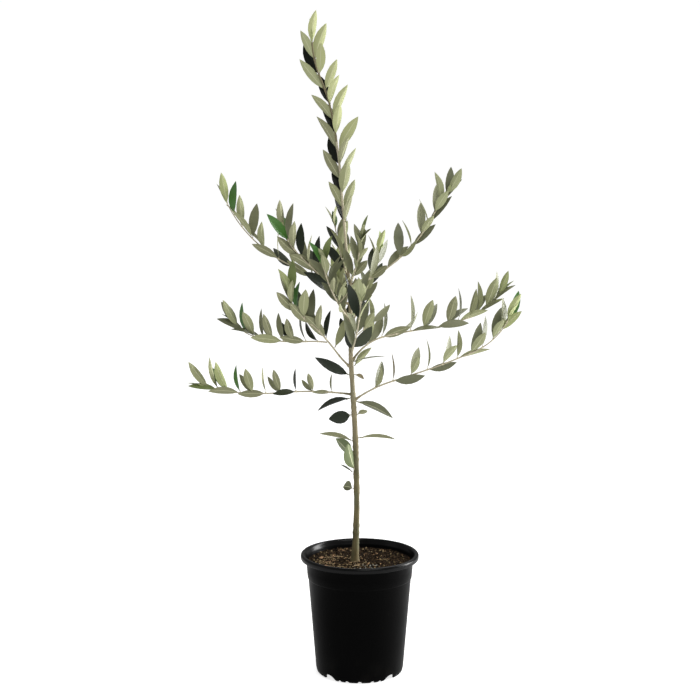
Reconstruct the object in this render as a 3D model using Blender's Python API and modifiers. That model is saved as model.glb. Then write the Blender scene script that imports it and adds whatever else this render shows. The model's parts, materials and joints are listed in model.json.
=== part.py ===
"""Young olive tree in a round nursery pot, in metres.

The plant stands on the flat underside of its pot, whose centre is the origin.
+Z is up, -Y is the front and +X is the right-hand side seen from the front.
"""

import math
import random

import bmesh
import bpy
from mathutils import Matrix, Vector
from mathutils.bvhtree import BVHTree

# ---------------------------------------------------------------- driving dimensions
GAP = 0.0003  # clearance between two solids that touch

POT_HEIGHT = 0.207
POT_RIM_RADIUS = 0.100
POT_NECK_RADIUS = 0.0905
POT_NECK_HEIGHT = 0.1945
POT_SHOULDER_HEIGHT = 0.166
POT_SHOULDER_STEP = 0.0012
POT_BASE_RADIUS = 0.0735
POT_FOOT_RADIUS = 0.0685
POT_WALL = 0.0019
POT_FLOOR = 0.003
POT_STEPS = 48
# The lip's section from its inner edge over its top to its outer foot: how far
# each corner lies inside the rim's radius, and how far under the rim's top.
LIP_SECTION = (
    (0.0080, 0.0035), (0.0065, 0.0008), (0.0045, 0.0), (0.0022, 0.0004),
    (0.0005, 0.0020), (0.0, 0.0042), (0.0004, 0.0085), (0.0020, 0.0095),
    (0.0065, 0.0101),
)
SHOULDER_BEVEL = 0.001  # half the height over which the wall steps in
# The rounded foot: how far each corner lies inside the base's radius, and its height.
FOOT_SECTION = ((0.0006, 0.0045), (0.0026, 0.0012))
FOOT_TOP = 0.010  # height at which the wall starts to round off
HEEL_RADIUS = 0.050  # where the inside floor starts to rise behind the foot ring
HEEL_HEIGHT = 0.017

ARCH_COUNT = 4
ARCH_RADIUS = 0.012
ARCH_DROP = 0.003  # how far the arch's centre lies under the underside
ARCH_DEPTH = 0.0105
CUTTER_SIDES = 16
CUTTER_SPARE = 0.006  # how far a cutter stands out past the wall
NOTCH_RADIUS = 0.0026
NOTCH_DROP = 0.0002
NOTCH_DEPTH = 0.0110
NOTCH_ANGLES = (-28.5, -17.5, 0.0, 17.5, 28.5)  # degrees from the middle of each foot

SOIL_HEIGHT = 0.193
SOIL_EDGE = (0.004, 0.002)  # width and height of the bevel round the soil's top

# Height, offset to the right, offset to the back and radius of the trunk's axis.
TRUNK_STATIONS = (
    (SOIL_HEIGHT + GAP, -0.0080, 0.000, 0.0078),
    (0.203, -0.0078, 0.000, 0.0064),
    (0.236, -0.0064, 0.001, 0.0054),
    (0.300, -0.0050, 0.003, 0.0047),
    (0.400, -0.0072, 0.004, 0.0046),
    (0.480, -0.0113, 0.002, 0.0041),
    (0.540, -0.0148, -0.001, 0.0035),
    (0.610, -0.0154, -0.003, 0.0030),
    (0.670, -0.0178, -0.002, 0.0027),
    (0.712, -0.0216, 0.000, 0.0024),
)
TRUNK_STEP = 0.016
TRUNK_BEVEL = 4  # twelve sides

SHOOT_STEP = 0.015  # length of one straight piece of a shoot
SHOOT_TIP_SHARE = 0.55  # a shoot's tip radius as a share of its base radius
BOUGH_BEVEL = 2  # eight sides
STEM_BEVEL = 0  # four sides
PITCH_RATIO = 0.935  # each gap between leaf pairs against the one before it

LEAF_SPREAD = 50.0  # degrees between a shoot and a leaf before light bends it
LEAF_LIFT = 1.15
LEAF_LEAN = 0.32
LEAF_ALONG = 0.75
LEAF_HOLD = 0.78
LEAF_WIDTH_SHARE = 0.29
LEAF_THICKNESS = 0.0008
LEAF_RINGS = ((0.29, 0.94), (0.68, 0.92))  # place along the blade and share of its width
LEAF_CURL = 0.05  # how far the blade's middle bows, as a share of its length
LEAF_TWIST = 35.0
LOW_LEAF_TWIST = 65.0
LEAF_SINK = 0.0006  # how far a leaf's root lies past its shoot's axis
LEAF_CLEARANCE = 0.0012
END_MARGIN = 0.002  # from the last leaf pair to the shoot's tip
TIP_CLOSING = 0.55  # how far the youngest leaves still lie along their shoot
PAIR_JITTER = 15.0
LOST_LEAF_SHARE = 0.07

LEAF_SIZE_RANGE = (0.88, 1.12)
LEAF_OPENING_JITTER = 10.0
LEAF_FORWARD = 0.45  # how far a leaf's upper side faces along its shoot
STEEP = 0.97  # a course that rises more turns its pairs by the front, not by the sky
BACK_SIDE = 0.35  # a leaf that points further back than this shows its upper side in front
LOW_SIDE = -0.5  # a leaf that points further down than this is turned about its middle rib
SKY = Vector((0, 0, 1))
FRONT = Vector((0, -1, 0))

END_LEAF_SHARE = 0.7  # the leaf that ends a shoot against its neighbours
LEAF_STALK = 0.004  # bare stalk of a leaf that sits on the trunk or a bough
STALK_RADIUS = 0.0009

TWIG_LENGTH = 0.034
TWIG_SPREAD = 48.0
TWIG_RADIUS = 0.0008
TWIG_TIP_SHARE = 0.7
TWIG_LIFT = 0.35
TWIG_PAIRS = 2
TWIG_LEAF_SHARE = 0.78

SHARP_ANGLE = 35.0

PLASTIC = ("black_plastic", (0.012, 0.012, 0.012, 1.0), 0.38)
SOIL = ("potting_soil", (0.030, 0.020, 0.014, 1.0), 0.95)
BARK = ("young_bark", (0.165, 0.150, 0.085, 1.0), 0.75)
LEAF = ("olive_leaf", (0.270, 0.300, 0.165, 1.0), 0.55)


# ---------------------------------------------------------------- growth plan
class Shoot:
    """One leafy shoot: where it leaves its parent, its course and its leaves."""

    def __init__(self, name, height, azimuth, length, rises, first, pairs, **more):
        self.name = name
        self.height = height  # on the trunk, or None on a shoot that leaves another one
        self.azimuth = math.radians(azimuth)  # anticlockwise from +X, seen from above
        self.length = length
        self.rises = rises  # degrees over the level at equal shares of the length
        self.first = first  # distance to the first leaf pair
        self.pairs = pairs
        self.bare = more.get("bare", 0.0)  # length of the bare bough; none when 0
        self.radius = more.get("radius", 0.0016)
        self.leaves = more.get("leaves", (0.040, 0.056))  # first and last leaf length
        self.turn = more.get("turn", 0.0)  # roll of the first pair; 0 is upright
        self.upright = more.get("upright", 1.0)  # how strongly leaves turn to the sky
        self.spread = more.get("spread", LEAF_SPREAD)
        self.pitch = more.get("pitch", PITCH_RATIO)
        self.hold = more.get("hold", LEAF_HOLD)
        self.steep = more.get("steep", STEEP)
        self.backlit = more.get("backlit", 0.0)  # how far the blades turn broad side on
        self.skew = more.get("skew", 0.0)  # extra roll of every other pair, in degrees
        self.parent = more.get("parent")
        self.parent_at = more.get("parent_at", 0.0)
        self.twigs = more.get("twigs", 0)
        self.seed = more.get("seed", 1)
        self.points = []


LEADER = Shoot("leader", None, 180, 0.356, (86, 85, 86, 83, 78, 67, 86), 0.055, 13,
               radius=0.0022, leaves=(0.060, 0.060), turn=180, pitch=1.010, hold=0.0,
               spread=49, upright=0.9, steep=0.8, backlit=2.0, skew=35, seed=4034)

SHOOTS = (
    Shoot("low_left", 0.480, 163, 0.259, (4, -2, -8, 0, 10), 0.037, 10,
          bare=0.022, leaves=(0.030, 0.059), turn=20, pitch=0.925, hold=0.4, spread=47,
          upright=1.3, seed=3137),
    Shoot("low_right", 0.469, -17, 0.306, (38, 20, 22, 26, 63), 0.044, 11,
          bare=0.026, leaves=(0.050, 0.054), turn=110, hold=0.68, upright=0.9, seed=8704),
    Shoot("middle_left", 0.525, 196, 0.166, (42, 54, 47, 37, 84), 0.067, 7,
          bare=0.060, leaves=(0.050, 0.056), turn=20, pitch=0.945, hold=1, spread=53,
          upright=1.1, seed=7925),
    Shoot("middle_left_side", None, 168, 0.161, (5, -5, 2, 11, 42), 0.018, 9,
          radius=0.0013, leaves=(0.050, 0.052), turn=115, pitch=0.955, hold=0.9,
          parent="middle_left", parent_at=0.060, seed=1451),
    Shoot("middle_right", 0.534, 17, 0.291, (61, 11, 4, 17, 46), 0.041, 13,
          bare=0.034, leaves=(0.059, 0.054), turn=60, pitch=0.945, hold=0.48, spread=44,
          upright=1.3, seed=3497),
    Shoot("upper_left_outer", 0.598, 160, 0.303, (76, 34, 22, 41, 62), 0.106, 8,
          bare=0.086, leaves=(0.056, 0.056), turn=50, hold=0.48, spread=44, upright=1.1,
          seed=9469),
    Shoot("upper_left_inner", 0.634, 206, 0.181, (3, 62, 44, 45, 72), 0.041, 8,
          bare=0.034, leaves=(0.059, 0.059), turn=0, pitch=0.965, hold=0.38, spread=44,
          seed=7626),
    Shoot("upper_right", 0.667, -22, 0.238, (8, 35, 43, 61, 53), 0.038, 9,
          bare=0.030, leaves=(0.054, 0.054), turn=130, pitch=0.905, hold=0.98, spread=62,
          seed=2664),
    Shoot("front_low", 0.548, -82, 0.162, (30, 36, 46, 60), 0.029, 4,
          bare=0.022, leaves=(0.059, 0.059), turn=40, pitch=0.925, hold=0.98, twigs=1,
          seed=194),
    Shoot("back_low", 0.556, 100, 0.162, (28, 36, 46, 60), 0.029, 7,
          bare=0.022, leaves=(0.046, 0.059), turn=30, pitch=0.860, hold=0.8, spread=44,
          upright=1.2, twigs=1, seed=6732),
    Shoot("front_middle", 0.606, -118, 0.140, (34, 42, 52, 64), 0.027, 6,
          bare=0.020, leaves=(0.046, 0.054), turn=30, pitch=0.900, spread=56,
          upright=0.9, twigs=1, seed=3883),
    Shoot("back_middle", 0.600, 62, 0.147, (32, 40, 50, 64), 0.029, 7,
          bare=0.022, leaves=(0.048, 0.052), turn=60, pitch=1.020, spread=44, upright=1.1,
          twigs=1, seed=1420),
    Shoot("front_upper", 0.664, -72, 0.108, (40, 48, 58, 66), 0.024, 6,
          bare=0.016, leaves=(0.050, 0.044), turn=40, hold=0.58, seed=3311),
    Shoot("back_upper", 0.672, 112, 0.103, (40, 48, 58, 66), 0.023, 5,
          bare=0.016, leaves=(0.059, 0.046), turn=30, pitch=0.995, upright=0.9, seed=7223),
    Shoot("middle_left_leaf", None, 40, LEAF_STALK, (62, 62), 0.0, 0,
          radius=STALK_RADIUS, leaves=(0.054, 0.054), turn=50,
          parent="middle_left", parent_at=0.045),
)

# Single leaves on the trunk: name, height, direction seen from above,
# rise, leaf length and roll.
SINGLE_LEAVES = (
    ("trunk_leaf_1", 0.343, 168, 29, 0.024, -14),
    ("trunk_leaf_2", 0.338, 238, 66, 0.052, 80),
    ("trunk_leaf_3", 0.368, 160, 43, 0.040, 60),
    ("trunk_leaf_4", 0.400, 188, 13, 0.056, 40),
    ("trunk_leaf_5", 0.406, 10, -5, 0.063, -34),
    ("trunk_leaf_6", 0.446, 208, -4, 0.042, -74),
    ("trunk_leaf_7", 0.444, -15, 22, 0.018, -40),
    ("trunk_leaf_8", 0.476, 166, -24, 0.061, -24),
    ("trunk_leaf_9", 0.471, -8, -24, 0.066, -50),
    ("trunk_leaf_10", 0.517, -20, -23, 0.017, -60),
    ("trunk_leaf_11", 0.511, 196, 29, 0.066, -75),
    ("trunk_leaf_12", 0.524, 14, 45, 0.041, -80),
    ("trunk_leaf_13", 0.536, -10, 11, 0.054, -15),
    ("trunk_leaf_14", 0.541, 260, 71, 0.051, -180),
    ("trunk_leaf_15", 0.318, 184, 8, 0.016, 70),
)
SHOOTS += tuple(
    Shoot(name, height, azimuth, LEAF_STALK, (rise, rise), 0.0, 0,
          radius=STALK_RADIUS, leaves=(length, length), turn=roll)
    for name, height, azimuth, rise, length, roll in SINGLE_LEAVES)


def interpolate(values, share):
    """Value at a share from 0 to 1 of an evenly spaced row of values."""
    place = min(max(share, 0.0), 1.0) * (len(values) - 1)
    index = min(int(place), len(values) - 2)
    return values[index] + (values[index + 1] - values[index]) * (place - index)


def heading(azimuth, rise):
    return Vector((
        math.cos(azimuth) * math.cos(rise),
        math.sin(azimuth) * math.cos(rise),
        math.sin(rise),
    ))


def trunk_at(height):
    """Axis point and radius of the trunk at a height."""
    for low, high in zip(TRUNK_STATIONS, TRUNK_STATIONS[1:]):
        if height <= high[0]:
            break
    share = (height - low[0]) / (high[0] - low[0])
    across, back, radius = (a + (b - a) * share for a, b in zip(low[1:], high[1:]))
    return Vector((across, back, height)), radius


def course(start, azimuth, rises, length, step=SHOOT_STEP):
    """Centre line of a shoot, worked out from its rise along its length."""
    count = max(2, round(length / step))
    points = [start]
    for index in range(count):
        rise = math.radians(interpolate(rises, (index + 0.5) / count))
        points.append(points[-1] + heading(azimuth, rise) * (length / count))
    return points


def along(points, distance):
    """Point and direction at a distance along a line."""
    for first, second in zip(points, points[1:]):
        piece = (second - first).length
        if distance <= piece:
            break
        distance -= piece
    else:
        distance = piece
    direction = (second - first).normalized()
    return first + direction * distance, direction


def stretch(points, start, end):
    """The part of a line between two distances along it."""
    cut = [along(points, start)[0]]
    travelled = 0.0
    for first, second in zip(points, points[1:]):
        travelled += (second - first).length
        if start + GAP < travelled < end - GAP:
            cut.append(second)
    return cut + [along(points, end)[0]]


def shoot_radius(shoot, distance):
    share = min(distance / shoot.length, 1.0)
    return shoot.radius * (1 + (SHOOT_TIP_SHARE - 1) * share)


def clear_start(parent_radius, parent_direction, radius, direction):
    """Distance along a side shoot at which its flat foot clears its parent."""
    cosine = abs(direction.dot(parent_direction))
    sine = math.sqrt(1 - cosine * cosine)
    return (parent_radius + GAP + radius * cosine) / sine


def plan_shoots():
    """Gives each shoot its centre line and the distance at which it starts."""
    by_name = {shoot.name: shoot for shoot in SHOOTS}
    for shoot in SHOOTS:
        if shoot.parent:
            parent = by_name[shoot.parent]
            start, parent_direction = along(parent.points, shoot.parent_at)
            parent_radius = shoot_radius(parent, shoot.parent_at)
        else:
            start, parent_radius = trunk_at(shoot.height)
            above = trunk_at(shoot.height + TRUNK_STEP)[0]
            parent_direction = (above - start).normalized()
        shoot.points = course(start, shoot.azimuth, shoot.rises, shoot.length)
        direction = along(shoot.points, 0.0)[1]
        shoot.start = clear_start(parent_radius, parent_direction, shoot.radius, direction)
        if not shoot.pairs:
            shoot.length += shoot.start
            shoot.points = course(start, shoot.azimuth, shoot.rises, shoot.length)
    top, radius = trunk_at(TRUNK_STATIONS[-1][0])
    LEADER.points = course(top, LEADER.azimuth, LEADER.rises, LEADER.length)
    LEADER.start = GAP


# ---------------------------------------------------------------- leaves
class Leaf:
    def __init__(self, root, direction, face, length):
        self.root = root
        self.direction = direction  # unit vector from the root towards the tip
        self.face = face  # unit vector that the upper side faces
        self.length = length

    def matrix(self):
        """Turns a leaf that lies along +Y with its upper side up."""
        side = self.direction.cross(self.face)
        turn = Matrix((side, self.direction, self.face)).transposed()
        return Matrix.Translation(self.root) @ turn.to_4x4()

    def samples(self):
        """Points on the blade's middle and edges, for tests of what is near it."""
        side = self.direction.cross(self.face)
        found = []
        for share, width in ((0.3, 0.9), (0.5, 1.0), (0.7, 0.9), (1.0, 0.0)):
            middle = self.root + self.direction * self.length * share
            reach = side * self.length * LEAF_WIDTH_SHARE * width / 2
            found += [middle, middle + reach, middle - reach]
        return found

    def blade(self, pattern, thickness):
        """The corners of this leaf, worked out from those of the unit pattern."""
        place = self.matrix()
        corners = []
        for corner in pattern:
            bow = LEAF_CURL * math.sin(math.pi * corner.y) * self.length
            corners.append(place @ Vector((corner.x * self.length, corner.y * self.length,
                                           bow + corner.z * thickness / 2)))
        return corners


def across(vector, direction):
    """The part of a vector that is square to a direction, as a unit vector."""
    return (vector - direction * vector.dot(direction)).normalized()


def leaf_direction(axis, radial, upright, spread, hold):
    """Where a leaf points: out from its shoot, bent towards the sky."""
    natural = axis * math.cos(spread) + radial * math.sin(spread)
    below = max(0.0, -radial.z)
    raised = (SKY * LEAF_LIFT - axis * LEAF_LEAN) * (1 - below)
    laid = (SKY * hold + axis * LEAF_ALONG) * below
    return (natural + (raised + laid) * upright).normalized()


def pair_distances(shoot):
    """Distances of the leaf pairs, which stand closer together towards the tip."""
    if not shoot.pairs:
        return []
    shares = [shoot.pitch ** index for index in range(shoot.pairs - 1)]
    scale = (shoot.length - shoot.first - END_MARGIN) / sum(shares)
    found = [shoot.first]
    for share in shares:
        found.append(found[-1] + share * scale)
    return found


def grow_pair(dice, point, axis, roll, length, shoot, share):
    """The two opposite leaves of one node; now and then one is lost."""
    opened = 1 - TIP_CLOSING * share ** 6
    upright = shoot.upright * opened
    reference = SKY if abs(axis.z) < shoot.steep else FRONT
    up = across(reference, axis)
    side = axis.cross(up)
    leaves = []
    for opposite in (0.0, math.pi):
        angle = roll + opposite + math.radians(dice.uniform(-PAIR_JITTER, PAIR_JITTER))
        radial = up * math.cos(angle) + side * math.sin(angle)
        opening_jitter = dice.uniform(-LEAF_OPENING_JITTER, LEAF_OPENING_JITTER)
        opening = math.radians(shoot.spread + opening_jitter) * opened
        direction = leaf_direction(axis, radial, upright, opening, shoot.hold)
        light = -shoot.backlit if radial.y < BACK_SIDE else shoot.backlit
        face = across(axis * LEAF_FORWARD - radial + FRONT * light, direction)
        twist = dice.uniform(-LEAF_TWIST, LEAF_TWIST)
        if upright and radial.z < LOW_SIDE:
            twist += LOW_LEAF_TWIST * dice.choice((-1, 1))
        face.rotate(Matrix.Rotation(math.radians(twist), 3, direction))
        size = length * dice.uniform(*LEAF_SIZE_RANGE)
        if dice.random() > LOST_LEAF_SHARE:
            leaves.append(Leaf(point - direction * LEAF_SINK, direction, face, size))
    return leaves


def grow(shoot):
    """Stem lines with their radii, and the leaves, of one shoot."""
    dice = random.Random(shoot.seed)
    begin = max(shoot.bare + GAP, shoot.start)
    stems = [(stretch(shoot.points, begin, shoot.length),
              shoot_radius(shoot, begin), shoot_radius(shoot, shoot.length))]
    leaves = []
    for index, distance in enumerate(pair_distances(shoot)):
        share = distance / shoot.length
        point, axis = along(shoot.points, distance)
        roll = math.radians(shoot.turn + 90 * index + shoot.skew * ((index + 1) % 2))
        length = interpolate(shoot.leaves, share)
        leaves += grow_pair(dice, point, axis, roll, length, shoot, share)
        if 0 < index <= shoot.twigs:
            stem, more = grow_twig(dice, point, axis, roll, length, shoot)
            stems.append(stem)
            leaves += more
    tip, axis = along(shoot.points, shoot.length)
    face = across(SKY, axis)
    if shoot.pairs:
        share = END_LEAF_SHARE
    else:
        share = 1.0
        face.rotate(Matrix.Rotation(math.radians(shoot.turn), 3, axis))
    leaves.append(Leaf(tip - axis * END_MARGIN, axis, face, shoot.leaves[1] * share))
    return stems, leaves


def grow_twig(dice, point, axis, roll, leaf_length, shoot):
    """A short side twig with its own leaf pairs, from the same node as a leaf pair."""
    up = across(SKY, axis)
    side = axis.cross(up) * dice.choice((-1, 1))
    spread = math.radians(TWIG_SPREAD)
    direction = (axis * math.cos(spread) + side * math.sin(spread)
                 + up * TWIG_LIFT).normalized()
    stem = ([point, point + direction * TWIG_LENGTH], TWIG_RADIUS, TWIG_RADIUS * TWIG_TIP_SHARE)
    leaves = []
    for index in range(TWIG_PAIRS):
        at = point + direction * (TWIG_LENGTH - END_MARGIN) * (index + 1) / TWIG_PAIRS
        leaves += grow_pair(dice, at, direction, roll + math.radians(90 * index),
                            leaf_length * TWIG_LEAF_SHARE, shoot, 0.0)
    return stem, leaves


def distance_to_line(point, line):
    """Distance from a point to a line of straight pieces."""
    nearest = math.inf
    for first, second in zip(line, line[1:]):
        piece = second - first
        share = min(max((point - first).dot(piece) / piece.length_squared, 0.0), 1.0)
        nearest = min(nearest, (first + piece * share - point).length)
    return nearest


def keeps_clear(leaf, own, limbs, stem_lines):
    """Whether a leaf misses every limb and the stems of every other shoot."""
    others = [stem for name, stems in stem_lines.items() if name != own for stem in stems]
    return not any(distance_to_line(sample, line) < radius + LEAF_CLEARANCE
                   for sample in leaf.samples() for line, radius in limbs + others)


def keep_own_space(grown, limbs, pattern, faces):
    """Skips each leaf that would touch a limb or reach into another shoot's leaves."""
    stem_lines = {name: [(line, radius) for line, radius, _ in stems]
                  for name, (stems, _) in grown.items()}
    taken = []
    kept = {}
    for name, (_, leaves) in grown.items():
        kept[name] = []
        trees = []
        for leaf in leaves:
            blade = leaf.blade(pattern, LEAF_CLEARANCE * 2)
            tree = BVHTree.FromPolygons(blade, faces)
            if not keeps_clear(leaf, name, limbs, stem_lines):
                continue
            if any(tree.overlap(other) for other in taken):
                continue
            kept[name].append(leaf)
            trees.append(tree)
        taken += trees
    return kept


# ---------------------------------------------------------------- modelling helpers
def clear_scene():
    for thing in list(bpy.data.objects):
        bpy.data.objects.remove(thing, do_unlink=True)


def new_collection(name, hidden=False):
    made = bpy.data.collections.new(name)
    bpy.context.scene.collection.children.link(made)
    made.hide_render = hidden
    return made


def new_material(name, colour, roughness):
    material = bpy.data.materials.new(name)
    material.use_nodes = True
    shader = material.node_tree.nodes["Principled BSDF"]
    shader.inputs["Base Color"].default_value = colour
    shader.inputs["Roughness"].default_value = roughness
    material.diffuse_color = colour
    return material


def add_object(name, data, collection, material):
    made = bpy.data.objects.new(name, data)
    collection.objects.link(made)
    if material:
        made.data.materials.append(material)
    return made


def turned(name, profile, steps, collection, material):
    """A turned solid: its profile runs from the axis down its outer side to the axis."""
    mesh = bpy.data.meshes.new(name)
    edges = [(index, index + 1) for index in range(len(profile) - 1)]
    mesh.from_pydata([(radius, 0, height) for radius, height in profile], edges, [])
    made = add_object(name, mesh, collection, material)
    screw = made.modifiers.new("Turn", "SCREW")
    screw.steps = steps
    screw.render_steps = steps
    screw.use_merge_vertices = True
    screw.merge_threshold = 0.0001
    return made


def apply_modifiers(thing):
    """Replaces an object's mesh by what its modifiers make of it."""
    graph = bpy.context.evaluated_depsgraph_get()
    mesh = bpy.data.meshes.new_from_object(thing.evaluated_get(graph))
    thing.modifiers.clear()
    thing.data = mesh


def shade(thing):
    thing.data.shade_smooth()
    thing.data.set_sharp_from_angle(angle=math.radians(SHARP_ANGLE))


def tube(name, points, radii, bevel, collection, material):
    """A round limb along a line, its radius given at each point, as a closed mesh."""
    curve = bpy.data.curves.new(name, "CURVE")
    curve.dimensions = "3D"
    curve.bevel_depth = 1.0
    curve.bevel_resolution = bevel
    curve.use_fill_caps = True
    spline = curve.splines.new("POLY")
    spline.points.add(len(points) - 1)
    for knot, point, radius in zip(spline.points, points, radii):
        knot.co = (*point, 1)
        knot.radius = radius
    guide = bpy.data.objects.new(name + "_guide", curve)
    collection.objects.link(guide)
    bpy.context.view_layer.update()
    graph = bpy.context.evaluated_depsgraph_get()
    mesh = bpy.data.meshes.new_from_object(guide.evaluated_get(graph))
    bpy.data.objects.remove(guide)
    form = bmesh.new()
    form.from_mesh(mesh)
    bmesh.ops.remove_doubles(form, verts=form.verts, dist=0.00001)
    bmesh.ops.recalc_face_normals(form, faces=form.faces)
    form.to_mesh(mesh)
    form.free()
    mesh.name = name
    return add_object(name, mesh, collection, material)


# ---------------------------------------------------------------- pot and soil
def wall_radius(height):
    """Outer radius of the pot's tapering wall, with its step at the shoulder."""
    slope = (POT_NECK_RADIUS - POT_SHOULDER_STEP - POT_BASE_RADIUS) / POT_NECK_HEIGHT
    radius = POT_BASE_RADIUS + slope * height
    if height > POT_SHOULDER_HEIGHT:
        radius += POT_SHOULDER_STEP
    return radius


def inside_profile(clearance, top):
    """Half section of the pot's inside, from the middle of its floor up to a height."""
    heel = wall_radius(HEEL_HEIGHT) - POT_WALL
    return [
        (0.0, POT_FLOOR + clearance),
        (HEEL_RADIUS - clearance, POT_FLOOR + clearance),
        (heel - clearance, HEEL_HEIGHT + clearance),
        (wall_radius(top) - POT_WALL - clearance, top),
    ]


def make_pot(collection, cutters, material):
    outside = [
        POT_SHOULDER_HEIGHT + SHOULDER_BEVEL,
        POT_SHOULDER_HEIGHT - SHOULDER_BEVEL,
        FOOT_TOP,
    ]
    profile = inside_profile(0.0, POT_NECK_HEIGHT)
    profile += [(POT_RIM_RADIUS - inset, POT_HEIGHT - drop) for inset, drop in LIP_SECTION]
    profile.append((POT_NECK_RADIUS, POT_NECK_HEIGHT))
    profile += [(wall_radius(height), height) for height in outside]
    profile += [(POT_BASE_RADIUS - inset, height) for inset, height in FOOT_SECTION]
    profile += [(POT_FOOT_RADIUS, 0.0), (0.0, 0.0)]
    pot = turned("pot", profile, POT_STEPS, collection, material)
    add_foot_cut(pot, cutters, "arch", ARCH_RADIUS, -ARCH_DROP, ARCH_DEPTH, arch_angles())
    add_foot_cut(pot, cutters, "notch", NOTCH_RADIUS, -NOTCH_DROP, NOTCH_DEPTH, notch_angles())
    apply_modifiers(pot)
    shade(pot)
    return pot


def arch_angles():
    """The arches stand at the diagonals, between the four feet."""
    return [math.radians(45 + 360 / ARCH_COUNT * index) for index in range(ARCH_COUNT)]


def notch_angles():
    return [math.radians(360 / ARCH_COUNT * foot + angle)
            for foot in range(ARCH_COUNT) for angle in NOTCH_ANGLES]


def add_foot_cut(pot, cutters, name, radius, height, depth, angles):
    """Cuts round-topped openings into the lower edge of the pot."""
    reach = depth + CUTTER_SPARE
    middle = POT_BASE_RADIUS - depth + reach / 2
    for index, angle in enumerate(angles):
        bpy.ops.mesh.primitive_cylinder_add(
            vertices=CUTTER_SIDES, radius=radius, depth=reach,
            location=(middle * math.cos(angle), middle * math.sin(angle), height),
            rotation=(0, math.radians(90), angle))
        cutter = bpy.context.object
        cutter.name = f"{name}_cutter_{index}"
        for home in list(cutter.users_collection):
            home.objects.unlink(cutter)
        cutters.objects.link(cutter)
        cutter.hide_render = True
        cutter.display_type = "WIRE"
        cut = pot.modifiers.new(cutter.name, "BOOLEAN")
        cut.operation = "DIFFERENCE"
        cut.object = cutter


def make_soil(collection, material):
    outline = inside_profile(GAP, SOIL_HEIGHT)
    edge = outline[-1][0]
    inset, drop = SOIL_EDGE
    profile = [(0.0, SOIL_HEIGHT), (edge - inset, SOIL_HEIGHT), (edge, SOIL_HEIGHT - drop)]
    profile += reversed(outline[:-1])
    soil = turned("soil", profile, POT_STEPS, collection, material)
    apply_modifiers(soil)
    shade(soil)
    return soil


# ---------------------------------------------------------------- plant
def make_trunk(collection, material):
    bottom = TRUNK_STATIONS[0][0]
    top = TRUNK_STATIONS[-1][0]
    heights = [station[0] for station in TRUNK_STATIONS[:3]]
    count = round((top - heights[-1]) / TRUNK_STEP)
    heights += [heights[-1] + (top - heights[-1]) * (index + 1) / count
                for index in range(count)]
    spots = [trunk_at(height) for height in heights]
    points = [spot[0] for spot in spots]
    points[1].xy = points[0].xy  # the foot leaves the soil upright, so its cut is level
    trunk = tube("trunk", points, [spot[1] for spot in spots], TRUNK_BEVEL,
                 collection, material)
    for vertex in trunk.data.vertices:
        vertex.co.z = max(vertex.co.z, bottom)
    shade(trunk)
    return trunk


def make_bough(shoot, collection, material):
    points = stretch(shoot.points, shoot.start, shoot.bare)
    travelled = shoot.start
    radii = [shoot_radius(shoot, travelled)]
    for first, second in zip(points, points[1:]):
        travelled += (second - first).length
        radii.append(shoot_radius(shoot, travelled))
    bough = tube(shoot.name + "_bough", points, radii, BOUGH_BEVEL, collection, material)
    shade(bough)
    return bough


def leaf_pattern():
    """A blade of unit length along +Y: a squared ball drawn out to a lance shape."""
    form = bmesh.new()
    bmesh.ops.create_uvsphere(form, u_segments=4, v_segments=3, radius=1.0)
    ring = math.sin(math.pi / 3)
    for vertex in form.verts:
        if math.isclose(abs(vertex.co.z), 1.0, abs_tol=0.001):
            vertex.co = (0.0, 0.0 if vertex.co.z < 0 else 1.0, 0.0)
            continue
        place, width = LEAF_RINGS[0] if vertex.co.z < 0 else LEAF_RINGS[1]
        vertex.co = (vertex.co.x / ring * width * LEAF_WIDTH_SHARE / 2, place,
                     vertex.co.y / ring)
    bmesh.ops.recalc_face_normals(form, faces=form.faces)
    mesh = bpy.data.meshes.new("leaf_pattern")
    form.to_mesh(mesh)
    form.free()
    return mesh


def make_leaf(name, pattern, leaf, collection):
    """A copy of the leaf pattern at its own size and place."""
    mesh = pattern.copy()
    corners = leaf.blade([vertex.co for vertex in pattern.vertices], LEAF_THICKNESS)
    for vertex, corner in zip(mesh.vertices, corners):
        vertex.co = corner
    return add_object(name, mesh, collection, None)


def make_mass(shoot, stems, leaves, pattern, collection, material):
    """Joins a shoot's stems and leaves into one solid."""
    loose = new_collection(shoot.name + "_loose")
    solids = []
    for index, (points, first, last) in enumerate(stems):
        count = len(points) - 1
        radii = [first + (last - first) * knot / count for knot in range(count + 1)]
        solids.append(tube(f"stem_{index}", points, radii, STEM_BEVEL, loose, None))
    mass = solids.pop(0)
    loose.objects.unlink(mass)
    collection.objects.link(mass)
    mass.name = shoot.name + "_foliage"
    mass.data.materials.append(material)
    for index, leaf in enumerate(leaves):
        make_leaf(f"leaf_{index}", pattern, leaf, loose)
    union = mass.modifiers.new("Join", "BOOLEAN")
    union.operation = "UNION"
    union.operand_type = "COLLECTION"
    union.collection = loose
    union.solver = "EXACT"
    union.use_self = False
    bpy.context.view_layer.update()
    apply_modifiers(mass)
    for thing in list(loose.objects):
        bpy.data.objects.remove(thing, do_unlink=True)
    bpy.data.collections.remove(loose)
    return mass


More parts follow.
